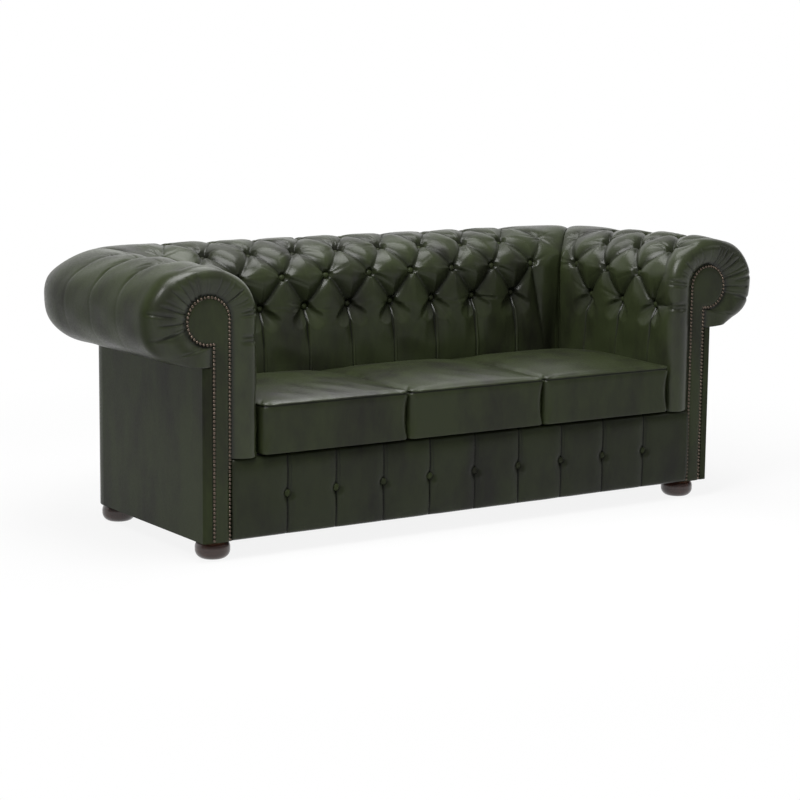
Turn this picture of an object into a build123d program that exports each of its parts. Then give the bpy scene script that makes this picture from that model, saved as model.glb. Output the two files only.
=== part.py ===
"""Three-seat buttoned sofa, built as its maker would: frame, springs, pads, covers, nails and loose cushions.

Millimetres, +Z up, X along the length, the front faces -Y, and the floor is z = 0 under the middle.
"""
import math
import os

from build123d import *

# Overall layout, taken from the photo at a back button pitch of about 150 mm.
arm_axis_x = 692.5
back_axis_y = 103.0
front_y = -418.5
arm_wall = 167.5
panel_thick = 7.0
body_bottom = 52.3
seat_z = 274.0

# Roll section, measured outwards from the inner crown line.
roll_width = 332.5
roll_mid_z = 648.0
roll_half_high = 131.0
scroll_radius = 68.0
scroll_z = 634.0
pad_thick = 83.0
frame_top = 660.0
roll_low_z = 521.0
panel_top = 512.0

# Button rows on the shared arm and back section.
valley_depth = 28.5
row1_z = 580.0
row2_z = 667.0
row3_in = 95.0
row3_z = 724.0
row4_in = 181.0
row4_z = 756.0
button_flat = 8.0
back_pitch = 149.4
arm_pitch = 152.0
arm_first_y = -24.0
back_columns = 8
arm_columns = 3

# Feet, buttons and nails.
foot_dia = 93.0
foot_x = 799.0
foot_front_y = -355.0
foot_back_y = 188.0
button_dia = 20.0
nail_dia = 8.6
nail_pitch = 10.5
nail_inset = 6.5

# Seat cushions.
cushion_count = 3
cushion_gap = 4.0
cushion_front = -435.5
cushion_back = 83.0
cushion_seam_z = 402.0
cushion_crown = 22.0
cushion_corner = 13.0
cushion_draw = 5.0
hide_thick = 2.0
bottom_ease = 3.0
seam_lap = 4.0
# Steps of the crown: share of its height, distance drawn in, extra corner softness.
crown_steps = ((0.16, 2.5, 2.0), (0.34, 30.0, 8.0), (0.52, 66.0, 18.0), (0.76, 120.0, 26.0), (1.0, 190.0, 24.0))

# Clearances and board sizes.
slip = 0.3
board_thick = 20.0
facing_thick = 12.0
rail_thick = 28.0
rail_top = 252.0
sheet_thick = 2.0
wire_radius = 1.9

# Values that follow from the ones above.
side_x = arm_axis_x + arm_wall
frame_in_x = arm_axis_x + pad_thick
frame_out_x = side_x - panel_thick
back_wall = 144.0
frame_in_y = back_axis_y + pad_thick
frame_out_y = back_axis_y + back_wall
hug_arm = frame_out_x - arm_axis_x
post_radius = 88.0
post_x = frame_out_x - post_radius
post_y = frame_out_y - post_radius
scroll_in = pad_thick + scroll_radius
scroll_x = arm_axis_x + scroll_in
facing_wide = 59.0
facing_out_x = frame_in_x + facing_wide
slab_front = front_y + facing_thick + board_thick
frame_bottom = body_bottom + sheet_thick
pad_tuck = 4.0
pad_bottom = seat_z - pad_tuck
border_top = pad_bottom - slip
border_set = 15.5
border_thick = 18.0
border_swell = 10.0
border_pinch = 3.0
border_lip = 6.0
border_back = front_y + border_set
border_face = border_back - border_thick
rail_front_y = border_back
rail_back_y = rail_front_y + rail_thick

# Pad ends and nose.
bulge_low_z = 430.0
bulge_high_z = 480.0
bulge_column = 4.0
bulge_between = -3.0
bulge_plain = 1.0
plain_rise = 9.0
pillow_base = 0.8
pillow_most = 46.0
pillow_share = 0.36
hug_clear = 4.0
back_full = 0.945
crease_in = 12.0
back_low = -6.0
arm_low = 7.0
nose_depth = 55.0
nose_draw = 0.46
facing_edge = 3.0
panel_edge = 5.0

# Nail and button heads.
nail_head = 3.2
nail_shank = 9.0
nail_shank_radius = 0.9
button_dome = 6.0
button_neck = 7.0
border_columns = 9

# Frame members and springs.
rail_deep = 42.0
cross_rail_x = 232.0
cross_rail_low = 190.0
cross_rail_top = 236.0
block_long = 72.0
block_top = 96.0
tack_low = 276.0
arm_post_y = -110.0
clip_high = 9.0
clip_half = 16.0
spring_count = 9
spring_gap = 150.0
spring_loops = 26
spring_half = 22.0
platform_gap = 13.0

# Foot fixings.
foot_neck = 36.0
foot_bead = 5.0
bolt_radius = 4.0
bolt_low = 18.0
bolt_top = 92.0
nut_radius = 8.0

# Cushion zips.
zip_half = 190.0
zip_high = 11.0
zip_deep = 2.4
zip_thick = 1.6
slider_long = 22.0
slider_thick = 2.5
slider_half = 5.0
slider_stop = 4.0


def lerp(a, b, t):
    """Point or number a fraction t of the way from a to b."""
    if isinstance(a, tuple):
        return tuple(p + (q - p) * t for p, q in zip(a, b))
    return a + (b - a) * t


def swell(a, b, height):
    """Middle point of an arc from a to b that stands out by height on the left-hand side."""
    dx = b[0] - a[0]
    dz = b[1] - a[1]
    size = math.hypot(dx, dz)
    return ((a[0] + b[0]) / 2 - dz / size * height, (a[1] + b[1]) / 2 + dx / size * height)


def on_roll(degrees, share):
    """Point of the plain roll outline at an angle from the outer side, scaled about its middle."""
    half = roll_width / 2
    a = math.radians(degrees)
    return (half + half * share * math.cos(a), roll_mid_z + roll_half_high * share * math.sin(a))


def pillow(a, b):
    """Height of the stuffed arc between two button points: none to speak of between close ones."""
    free = max(math.dist(a, b) - 2 * button_flat, 0.0)
    return pillow_base + min(pillow_share * free, pillow_most)


def profile(phase, depth, low, hug, full=1.0):
    """Corner and arc points of one pad section.

    phase 0 is a column with buttons in rows 1 and 3, phase 1 one with rows 2 and 4;
    depth 1 is full buttoning and depth 0 a smooth roll; full scales the height of the crown.
    """
    row1 = (valley_depth, row1_z)
    row2_low = (valley_depth, row2_z - button_flat)
    row2_high = (valley_depth + button_flat / 4, row2_z + button_flat)
    row3_low = (row3_in - button_flat * 0.77, row3_z - button_flat * 0.64)
    row3_high = (row3_in + button_flat * 0.93, row3_z + button_flat * 0.36)
    row4 = (row4_in, row4_z)
    v1 = lerp(on_roll(195, 0.97), lerp(row1, row2_low, phase), depth)
    v2 = lerp(on_roll(146, 0.99), lerp(row3_low, row2_high, phase), depth)
    v3 = lerp(on_roll(108, 0.99 * full), lerp(row3_high, row4, phase), depth)
    foot = (low, pad_bottom)
    bulge = lerp(lerp(bulge_column, bulge_between, phase), bulge_plain, 1 - depth)
    middle = (low + bulge, lerp(bulge_low_z, bulge_high_z, phase))
    edge = on_roll(0, lerp(1.0, 0.97, phase * depth))
    over = lerp(on_roll(62, full), on_roll(46, 0.95 * full), phase * depth)
    under = on_roll(-46, lerp(1.05, 1.02, phase * depth))
    tail = (roll_width * 0.646, roll_low_z)
    rise12 = lerp(plain_rise, pillow(v1, v2), depth)
    rise23 = lerp(plain_rise, pillow(v2, v3), depth)
    return {
        "foot": foot, "middle": middle, "v1": v1, "rise12": rise12, "v2": v2, "rise23": rise23, "v3": v3,
        "over": over, "edge": edge, "under": under, "tail": tail, "hug": hug,
    }


def drawn_in(points, share):
    """The section drawn in towards the scroll by a share, for the rounded nose of an arm."""
    def move(p, keep_low):
        s = scroll_in + (p[0] - scroll_in) * (1 - share)
        z = p[1]
        if z > scroll_z or not keep_low:
            z = scroll_z + (z - scroll_z) * (1 - share)
        return (s, z)

    out = dict(points)
    for name in ("foot", "middle", "v1", "tail"):
        out[name] = move(points[name], True)
    for name in ("v2", "v3", "over", "edge", "under"):
        out[name] = move(points[name], False)
    for name in ("rise12", "rise23"):
        out[name] = points[name] * (1 - share)
    return out


def section(plane, p):
    """One closed pad section on a plane: five arcs outside, straight lines along the frame inside."""
    hug = p["hug"]
    with BuildSketch(plane) as cut:
        with BuildLine():
            ThreePointArc(p["foot"], p["middle"], p["v1"])
            ThreePointArc(p["v1"], swell(p["v1"], p["v2"], p["rise12"]), p["v2"])
            ThreePointArc(p["v2"], swell(p["v2"], p["v3"], p["rise23"]), p["v3"])
            ThreePointArc(p["v3"], p["over"], p["edge"])
            ThreePointArc(p["edge"], p["under"], p["tail"])
            Polyline(
                p["tail"], (hug, panel_top + slip), (hug, frame_top), (pad_thick, frame_top),
                (pad_thick, pad_bottom), p["foot"],
            )
        make_face()
    return cut.sketch.face()


def corner_hug(degrees):
    """Distance from the corner axis to the outside of the frame, at an angle from the arm side.

    The frame's outside is the flat of the back, then the rounded post, then the flat of the arm.
    """
    a = math.radians(degrees)
    cx = post_x - arm_axis_x
    cy = post_y - back_axis_y
    if back_wall * math.cos(a) <= cx * math.sin(a):
        reach = back_wall / math.sin(a)
    elif hug_arm * math.sin(a) <= cy * math.cos(a):
        reach = hug_arm / math.cos(a)
    else:
        along = cx * math.cos(a) + cy * math.sin(a)
        reach = along + math.sqrt(along ** 2 - cx ** 2 - cy ** 2 + post_radius ** 2)
    return reach + hug_clear


def corner_profile(degrees):
    """Smooth section used round the corner, at an angle from the arm side."""
    return profile(0.0, 0.0, crease_in, corner_hug(degrees), back_full)


def back_plane(x):
    """Section plane across the back at x."""
    return Plane((x, back_axis_y, 0), (0, 1, 0), (1, 0, 0))


def arm_plane(y):
    """Section plane across the right arm at y."""
    return Plane((arm_axis_x, y, 0), (1, 0, 0), (0, -1, 0))


def corner_plane(side, degrees, to_arm):
    """Section plane through a corner axis, at an angle from the arm side."""
    c = math.cos(math.radians(degrees))
    s = math.sin(math.radians(degrees))
    if to_arm:
        normal = (s, -c, 0)
    else:
        normal = (s, -side * c, 0)
    return Plane((side * arm_axis_x, back_axis_y, 0), (side * c, s, 0), normal)


def zigzag(i):
    """Phase of the i-th quarter-pitch station: 1, one half, 0, one half, and round again."""
    cycle = (i % 4) / 2
    return 1 - cycle if cycle <= 1 else cycle - 1


# Back pad: a ruled loft from one mitre to the other, buttoned in four rows.
half_back = back_columns / 2 * back_pitch
corner_angles = (45.0, 60.0, 75.0)
cuts = []
with BuildPart() as back_pad:
    for angle in corner_angles:
        cuts.append(section(corner_plane(-1, angle, False), corner_profile(angle)))
    cuts.append(section(back_plane(-arm_axis_x), profile(0.0, 0.25, crease_in / 2, back_wall, back_full)))
    for i in range(back_columns * 4 + 1):
        x = -half_back + i * back_pitch / 4
        cuts.append(section(back_plane(x), profile(zigzag(i), 1.0, back_low, back_wall, back_full)))
    cuts.append(section(back_plane(arm_axis_x), profile(0.0, 0.25, crease_in / 2, back_wall, back_full)))
    for angle in reversed(corner_angles):
        cuts.append(section(corner_plane(1, angle, False), corner_profile(angle)))
    loft(cuts, ruled=True)
back_pad.part.label = "back_pad"


def keyhole(grow):
    """Scroll facing outline on the front plane: a round head on a straight post."""
    with Locations((scroll_x, scroll_z)):
        Circle(scroll_radius + grow)
    post_wide = facing_out_x - frame_in_x + 2 * grow
    post_high = scroll_z - body_bottom + grow
    with Locations(((frame_in_x + facing_out_x) / 2, body_bottom - grow + post_high / 2)):
        Rectangle(post_wide, post_high)


# Arm pads: mitre, buttoned length, rounded nose, then the keyhole for the front board.
arm_back_y = arm_first_y + arm_pitch / 2
nose_y = front_y + nose_depth
cuts = []
with BuildPart() as arm_pad_right:
    for angle in (45.0, 30.0, 15.0):
        cuts.append(section(corner_plane(1, angle, True), corner_profile(angle)))
    cuts.append(section(arm_plane(back_axis_y), profile(0.0, 0.25, crease_in, hug_arm, back_full)))
    for i in range(arm_columns * 4 - 1):
        y = arm_back_y - i * arm_pitch / 4
        cuts.append(section(arm_plane(y), profile(zigzag(i), 1.0, arm_low, hug_arm)))
    for u in (0.0, 0.5, 0.8, 0.95, 1.0):
        drawn = nose_draw * (1 - math.sqrt(1 - u * u))
        p = drawn_in(profile(0.0, 0.1, arm_low, hug_arm), drawn)
        cuts.append(section(arm_plane(nose_y - nose_depth * u), p))
    loft(cuts, ruled=True)
    with BuildSketch(Plane.XZ.offset(-slab_front - slip)):
        keyhole(slip)
    extrude(amount=facing_thick + board_thick + 2 * slip, mode=Mode.SUBTRACT)
arm_pad_right.part.label = "arm_pad_right"

# Scroll facing: padded board under the same leather, edged by the nails.
with BuildPart() as scroll_facing_right:
    with BuildSketch(Plane.XZ.offset(-front_y - facing_thick)):
        keyhole(0.0)
    extrude(amount=facing_thick)
    fillet(scroll_facing_right.faces().sort_by(Axis.Y)[0].edges(), facing_edge)
scroll_facing_right.part.label = "scroll_facing_right"

# Keyhole board behind the facing, the front member of the arm frame.
with BuildPart() as arm_front_board_right:
    with BuildSketch(Plane.XZ.offset(-slab_front)):
        keyhole(0.0)
    extrude(amount=board_thick)
    with BuildSketch(Plane.XY.offset(body_bottom)):
        with Locations((scroll_x, front_y)):
            Rectangle(side_x, side_x)
    extrude(amount=sheet_thick, mode=Mode.SUBTRACT)
arm_front_board_right.part.label = "arm_front_board_right"


def nail_places():
    """Nail centres along the inner post edge, round the scroll and down the outer post edge."""
    ring = scroll_radius - nail_inset
    inner = frame_in_x + nail_inset
    outer = facing_out_x - nail_inset
    drop = outer - scroll_x
    corner_z = scroll_z - math.sqrt(ring ** 2 - drop ** 2)
    end_angle = math.atan2(corner_z - scroll_z, drop)
    low = body_bottom + nail_inset
    sweep_angle = math.pi - end_angle
    straight_in = scroll_z - low
    round_length = ring * sweep_angle
    total = straight_in + round_length + corner_z - low
    count = round(total / nail_pitch)
    places = []
    for k in range(count + 1):
        d = total * k / count
        if d < straight_in:
            places.append((inner, low + d))
        elif d < straight_in + round_length:
            a = math.pi - (d - straight_in) / ring
            places.append((scroll_x + ring * math.cos(a), scroll_z + ring * math.sin(a)))
        else:
            places.append((outer, corner_z - (d - straight_in - round_length)))
    return places


def cap_middle(radius, high):
    """Middle point of the outline of a round cap whose centre is on the axis."""
    ball = (radius ** 2 + high ** 2) / (2 * high)
    a = math.asin(radius / ball) / 2
    return (ball * math.sin(a), high - ball + ball * math.cos(a))


# One domed nail: head on the leather, shank driven through the facing.
with BuildPart() as nail:
    with BuildSketch(Plane.XZ):
        with BuildLine():
            Polyline(
                (0, -nail_shank), (nail_shank_radius, -nail_shank), (nail_shank_radius, 0), (nail_dia / 2, 0),
            )
            ThreePointArc((nail_dia / 2, 0), cap_middle(nail_dia / 2, nail_head), (0, nail_head))
            Line((0, nail_head), (0, -nail_shank))
        make_face()
    revolve(axis=Axis.Z)

with BuildPart() as facing_nails_right:
    with Locations(*[Location((x, front_y, z), (90, 0, 0)) for x, z in nail_places()]):
        add(nail.part)
facing_nails_right.part.label = "facing_nails_right"

# One covered button: a dome on a short neck, pulled down into the pad.
with BuildPart() as button:
    with BuildSketch(Plane.XZ):
        with BuildLine():
            Polyline(
                (0, -button_neck), (button_dia / 4, -button_neck), (button_dia / 4, 0), (button_dia / 2, 0),
            )
            ThreePointArc((button_dia / 2, 0), cap_middle(button_dia / 2, button_dome), (0, button_dome))
            Line((0, button_dome), (0, -button_neck))
        make_face()
    revolve(axis=Axis.Z)

# Button rows on the section: distance in, height, and tilt from flat towards the seat.
row_seats = {
    1: (valley_depth, row1_z, 90.0), 2: (valley_depth, row2_z, 72.0),
    3: (row3_in, row3_z, 35.0), 4: (row4_in, row4_z, 8.0),
}
back_spots = []
for row, (inset, z, tilt) in row_seats.items():
    even = row % 2
    for k in range(back_columns + 1 - even):
        x = -half_back + (k + even / 2) * back_pitch
        back_spots.append(Location((x, back_axis_y + inset, z), (tilt, 0, 0)))
with BuildPart() as back_buttons:
    with Locations(*back_spots):
        add(button.part)
back_buttons.part.label = "back_buttons"

arm_spots = []
for row, (inset, z, tilt) in row_seats.items():
    even = row % 2
    for k in range(arm_columns):
        y = arm_back_y - (k + even / 2) * arm_pitch
        arm_spots.append(Location((arm_axis_x + inset, y, z), (0, -tilt, 0)))
with BuildPart() as arm_buttons_right:
    with Locations(*arm_spots):
        add(button.part)
arm_buttons_right.part.label = "arm_buttons_right"

# Front border: a padded panel pleated at nine buttons.
border_half = frame_in_x - slip
border_rise = 2.0
border_z = (body_bottom + border_top) / 2 + border_rise
border_ends = 1.2
border_pitch = 2 * border_half / (border_columns + border_ends)
cuts = []
with BuildPart() as front_border:
    count = 2 * border_columns
    places = [(-border_half, 0.5)]
    for i in range(count - 1):
        places.append((-(border_columns - 1) / 2 * border_pitch + i * border_pitch / 2, float(i % 2)))
    places.append((border_half, 0.5))
    for x, fullness in places:
        reach = border_face - border_swell * fullness
        pinch = border_face - border_swell * fullness * 0.9 + border_pinch * (1 - fullness)
        with BuildSketch(Plane((x, 0, 0), (0, 1, 0), (1, 0, 0))) as cut:
            with BuildLine():
                low = (border_face + border_lip, body_bottom)
                mid = (pinch, border_z)
                high = (border_face + border_lip, border_top)
                ThreePointArc(low, (reach, (body_bottom + border_z) / 2), mid)
                ThreePointArc(mid, (reach, (border_top + border_z) / 2), high)
                Polyline(high, (border_back, border_top), (border_back, body_bottom), low)
            make_face()
        cuts.append(cut.sketch.face())
    loft(cuts, ruled=True)
front_border.part.label = "front_border"

with BuildPart() as border_buttons:
    spots = []
    for k in range(border_columns):
        x = (k - (border_columns - 1) / 2) * border_pitch
        spots.append(Location((x, border_face + border_pinch, border_z), (90, 0, 0)))
    with Locations(*spots):
        add(button.part)
border_buttons.part.label = "border_buttons"

# Outer arm panel: a leather-covered board that turns the front corner as a strip.
with BuildPart() as outer_arm_panel_right:
    with BuildSketch(Plane.XY.offset(body_bottom)):
        with BuildLine():
            Polyline(
                (facing_out_x + slip, front_y), (side_x - panel_edge, front_y), (side_x, front_y + panel_edge),
                (side_x, post_y), (frame_out_x, post_y), (frame_out_x, front_y + panel_thick),
                (facing_out_x + slip, front_y + panel_thick), (facing_out_x + slip, front_y),
            )
        make_face()
    extrude(amount=panel_top - body_bottom)
outer_arm_panel_right.part.label = "outer_arm_panel_right"

# Outer back panel: wraps both rounded back corners.
with BuildPart() as outer_back_panel:
    with BuildSketch(Plane.XY.offset(body_bottom)):
        outer_r = post_radius + panel_thick
        half_a = math.sqrt(0.5)
        with BuildLine():
            Line((side_x, post_y), (frame_out_x, post_y))
            ThreePointArc(
                (frame_out_x, post_y), (post_x + post_radius * half_a, post_y + post_radius * half_a),
                (post_x, frame_out_y),
            )
            Line((post_x, frame_out_y), (-post_x, frame_out_y))
            ThreePointArc(
                (-post_x, frame_out_y), (-post_x - post_radius * half_a, post_y + post_radius * half_a),
                (-frame_out_x, post_y),
            )
            Line((-frame_out_x, post_y), (-side_x, post_y))
            ThreePointArc(
                (-side_x, post_y), (-post_x - outer_r * half_a, post_y + outer_r * half_a),
                (-post_x, post_y + outer_r),
            )
            Line((-post_x, post_y + outer_r), (post_x, post_y + outer_r))
            ThreePointArc(
                (post_x, post_y + outer_r), (post_x + outer_r * half_a, post_y + outer_r * half_a),
                (side_x, post_y),
            )
        make_face()
    extrude(amount=panel_top - body_bottom)
outer_back_panel.part.label = "outer_back_panel"


def span(x0, x1, y0, y1, z0, z1, mode=Mode.ADD):
    """A plain timber member between two corners."""
    with Locations(((x0 + x1) / 2, (y0 + y1) / 2, (z0 + z1) / 2)):
        Box(x1 - x0, y1 - y0, z1 - z0, mode=mode)


def bolt_hole(x, y, radius, z0, z1):
    """A round hole for a foot fixing."""
    with Locations((x, y, (z0 + z1) / 2)):
        Cylinder(radius, z1 - z0, mode=Mode.SUBTRACT)


# Timber frame.
with BuildPart() as front_rail:
    span(-frame_in_x, frame_in_x, rail_front_y, rail_back_y, frame_bottom, rail_top)
front_rail.part.label = "front_rail"

back_rail_front = frame_out_y - rail_thick
with BuildPart() as back_rail:
    span(-post_x, post_x, back_rail_front, frame_out_y, frame_bottom, rail_top)
back_rail.part.label = "back_rail"

side_rail_in = frame_out_x - rail_thick
with BuildPart() as side_rail_right:
    span(side_rail_in, frame_out_x, slab_front, post_y, frame_bottom, rail_top)
side_rail_right.part.label = "side_rail_right"

with BuildPart() as seat_cross_rails:
    for x in (-cross_rail_x, cross_rail_x):
        x0 = x - rail_thick / 2
        span(x0, x0 + rail_thick, rail_back_y, back_rail_front, cross_rail_low, cross_rail_top)
seat_cross_rails.part.label = "seat_cross_rails"

with BuildPart() as corner_blocks:
    for side in (-1, 1):
        x0, x1 = sorted((side * frame_in_x, side * side_rail_in))
        span(x0, x1, slab_front, slab_front + block_long, frame_bottom, block_top)
        bolt_hole(side * foot_x, foot_front_y, nut_radius + slip, frame_bottom, block_top)
corner_blocks.part.label = "corner_blocks"

with BuildPart() as arm_top_rail_right:
    span(frame_in_x, frame_out_x, slab_front, post_y, frame_top - rail_deep, frame_top)
arm_top_rail_right.part.label = "arm_top_rail_right"

with BuildPart() as arm_tack_rail_right:
    span(frame_in_x, frame_in_x + rail_thick, slab_front, post_y, tack_low, tack_low + rail_deep)
arm_tack_rail_right.part.label = "arm_tack_rail_right"

with BuildPart() as arm_post_right:
    span(frame_in_x + rail_thick, frame_out_x, arm_post_y - rail_thick, arm_post_y + rail_thick,
         rail_top, frame_top - rail_deep)
arm_post_right.part.label = "arm_post_right"

with BuildPart() as back_corner_post_right:
    with BuildSketch(Plane.XY.offset(frame_bottom)):
        half_a = math.sqrt(0.5)
        with BuildLine():
            ThreePointArc(
                (frame_out_x, post_y), (post_x + post_radius * half_a, post_y + post_radius * half_a),
                (post_x, frame_out_y),
            )
            Polyline(
                (post_x, frame_out_y), (post_x, frame_in_y), (frame_in_x, frame_in_y), (frame_in_x, post_y),
                (frame_out_x, post_y),
            )
        make_face()
    extrude(amount=frame_top - frame_bottom)
    bolt_hole(foot_x, foot_back_y, nut_radius + slip, frame_bottom, block_top)
back_corner_post_right.part.label = "back_corner_post_right"

with BuildPart() as back_top_rail:
    span(-post_x, post_x, frame_in_y, frame_out_y, frame_top - rail_deep, frame_top)
back_top_rail.part.label = "back_top_rail"

with BuildPart() as back_tack_rail:
    span(-post_x, post_x, frame_in_y, frame_in_y + rail_thick, tack_low, tack_low + rail_deep)
back_tack_rail.part.label = "back_tack_rail"

with BuildPart() as back_posts:
    for x in (-cross_rail_x, cross_rail_x):
        span(x - rail_thick, x + rail_thick, frame_in_y + rail_thick, frame_out_y,
             rail_top, frame_top - rail_deep)
back_posts.part.label = "back_posts"

# Seat springs: zigzag wire from the front rail to the back rail, held by a clip at each end.
spring_start = (rail_front_y + rail_back_y) / 2
spring_end = (back_rail_front + frame_out_y) / 2
spring_z = rail_top + clip_high / 2
loop_pitch = (spring_end - spring_start) / spring_loops
with BuildPart() as spring:
    with BuildLine() as path:
        for i in range(spring_loops + 1):
            y = spring_start + i * loop_pitch
            side = 1 if i % 2 == 0 else -1
            Line((-side * spring_half, y, spring_z), (side * spring_half, y, spring_z))
            if i < spring_loops:
                ThreePointArc(
                    (side * spring_half, y, spring_z),
                    (side * (spring_half + loop_pitch / 2), y + loop_pitch / 2, spring_z),
                    (side * spring_half, y + loop_pitch, spring_z),
                )
    with BuildSketch(Plane((-spring_half, spring_start, spring_z), (0, 1, 0), (1, 0, 0))):
        Circle(wire_radius)
    sweep(path=path.line)

spring_places = []
for k in range(spring_count):
    spring_places.append((k - (spring_count - 1) / 2) * spring_gap)
with BuildPart() as seat_springs:
    with Locations(*[(x, 0, 0) for x in spring_places]):
        add(spring.part)
seat_springs.part.label = "seat_springs"

with BuildPart() as spring_clips:
    for x in spring_places:
        for y in (spring_start, spring_end):
            span(x - clip_half, x + clip_half, y - clip_half / 2, y + clip_half / 2,
                 rail_top, rail_top + clip_high)
            span(x - clip_half, x + clip_half, y - wire_radius - slip, y + wire_radius + slip,
                 spring_z - wire_radius - slip, spring_z + wire_radius + slip, Mode.SUBTRACT)
spring_clips.part.label = "spring_clips"

with BuildPart() as seat_platform:
    platform_back = back_axis_y + back_low - platform_gap
    span(-arm_axis_x + slip, arm_axis_x - slip, rail_front_y + slip, platform_back,
         rail_top + clip_high + slip, seat_z)
seat_platform.part.label = "seat_platform"

# Underside: dust cover with a round opening over each foot.
foot_spots = {
    "front_left": (-foot_x, foot_front_y), "front_right": (foot_x, foot_front_y),
    "back_left": (-foot_x, foot_back_y), "back_right": (foot_x, foot_back_y),
}
with BuildPart() as dust_cover:
    span(-frame_in_x + slip, frame_in_x - slip, rail_front_y, slab_front, body_bottom, frame_bottom)
    span(-frame_out_x, frame_out_x, slab_front, post_y, body_bottom, frame_bottom)
    span(-post_x, post_x, post_y, frame_out_y, body_bottom, frame_bottom)
    for side in (-1, 1):
        with Locations((side * post_x, post_y, (body_bottom + frame_bottom) / 2)):
            Cylinder(post_radius, sheet_thick)
    for x, y in foot_spots.values():
        bolt_hole(x, y, foot_neck + slip, body_bottom, frame_bottom)
dust_cover.part.label = "dust_cover"

# Bun foot: turned profile with a flat sole, a rounded belly and a neck up to the frame.
with BuildPart() as foot:
    with BuildSketch(Plane.XZ):
        with BuildLine():
            sole = foot_dia * 0.33
            belly_z = frame_bottom * 0.45
            Polyline((bolt_radius + slip, bolt_low), (0, bolt_low), (0, 0), (sole, 0))
            ThreePointArc((sole, 0), (foot_dia * 0.455, belly_z * 0.36), (foot_dia / 2, belly_z))
            ThreePointArc(
                (foot_dia / 2, belly_z), (foot_dia * 0.462, belly_z + (frame_bottom - belly_z) * 0.58),
                (foot_neck, frame_bottom - foot_bead),
            )
            Polyline(
                (foot_neck, frame_bottom - foot_bead), (foot_neck, frame_bottom),
                (bolt_radius + slip, frame_bottom), (bolt_radius + slip, bolt_low),
            )
        make_face()
    revolve(axis=Axis.Z)

feet = {}
for name, (x, y) in foot_spots.items():
    with BuildPart() as one_foot:
        with Locations((x, y, 0)):
            add(foot.part)
    one_foot.part.label = "foot_" + name
    feet["foot_" + name] = one_foot.part

with BuildPart() as foot_bolts:
    for x, y in foot_spots.values():
        with Locations((x, y, (bolt_low + bolt_top) / 2)):
            Cylinder(bolt_radius, bolt_top - bolt_low)
foot_bolts.part.label = "foot_bolts"

with BuildPart() as foot_tee_nuts:
    for x, y in foot_spots.values():
        with Locations((x, y, (frame_bottom + block_top) / 2)):
            Cylinder(nut_radius, block_top - frame_bottom)
        bolt_hole(x, y, bolt_radius + slip, frame_bottom, block_top)
foot_tee_nuts.part.label = "foot_tee_nuts"


def cushion_form(x0, x1, inset):
    """A loose cushion: boxed sides drawn in between the seams, and a crowned top."""
    low = seat_z + inset
    seam = cushion_seam_z - inset * 0.4
    crown = cushion_crown - inset * 0.6
    levels = [
        (low, bottom_ease, 0.0), (low + 2 * bottom_ease, 0.0, 0.0), (lerp(low, seam, 0.5), cushion_draw, 0.0),
        (seam - seam_lap, 0.0, 0.0), (seam, seam_lap / 4, 0.0),
    ]
    for rise, draw, soften in crown_steps:
        levels.append((seam + crown * rise, draw, soften))
    faces = []
    for z, draw, soften in levels:
        wide = x1 - x0 - 2 * (inset + draw)
        deep = cushion_back - cushion_front - 2 * (inset + draw)
        round_off = max(cushion_corner - inset + soften - min(draw, 2 * bottom_ease) / 2, seam_lap)
        with BuildSketch(Plane.XY.offset(z)) as level:
            with Locations(((x0 + x1) / 2, (cushion_front + cushion_back) / 2)):
                RectangleRounded(wide, deep, round_off)
        faces.append(level.sketch.face())
    return faces


cushion_parts = {}
seat_half = arm_axis_x - cushion_gap / 2
cushion_wide = (2 * seat_half - (cushion_count - 1) * cushion_gap) / cushion_count
zip_z = lerp(seat_z, cushion_seam_z, 0.5)
for k, place in enumerate(("left", "middle", "right")):
    x0 = -seat_half + k * (cushion_wide + cushion_gap)
    x1 = x0 + cushion_wide
    mid_x = (x0 + x1) / 2
    zip_back = cushion_back - cushion_draw
    with BuildPart() as cushion_cover:
        loft(cushion_form(x0, x1, 0.0), ruled=True)
        loft(cushion_form(x0, x1, hide_thick), ruled=True, mode=Mode.SUBTRACT)
        span(mid_x - zip_half - slip, mid_x + zip_half + slip,
             zip_back - 3 * hide_thick, zip_back + 2 * hide_thick,
             zip_z - zip_high - slip, zip_z + zip_high + slip, Mode.SUBTRACT)
    cushion_cover.part.label = "cushion_cover_" + place
    with BuildPart() as cushion_core:
        loft(cushion_form(x0, x1, hide_thick + slip), ruled=True)
        span(mid_x - zip_half - 2 * slip, mid_x + zip_half + 2 * slip,
             zip_back - zip_deep - slip, cushion_back,
             zip_z - zip_high - 2 * slip, zip_z + zip_high + 2 * slip, Mode.SUBTRACT)
    cushion_core.part.label = "cushion_core_" + place
    with BuildPart() as cushion_zip:
        span(mid_x - zip_half, mid_x + zip_half, zip_back - zip_deep, zip_back - zip_deep + zip_thick,
             zip_z - zip_high, zip_z + zip_high)
    cushion_zip.part.label = "cushion_zip_" + place
    with BuildPart() as zip_slider:
        y0 = zip_back - zip_deep + zip_thick + slip
        slider_x = mid_x - zip_half + slider_stop
        span(slider_x, slider_x + slider_long, y0, y0 + slider_thick,
             zip_z - slider_half, zip_z + slider_half)
    zip_slider.part.label = "zip_slider_" + place
    for one in (cushion_cover, cushion_core, cushion_zip, zip_slider):
        cushion_parts[one.part.label] = one.part

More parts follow.
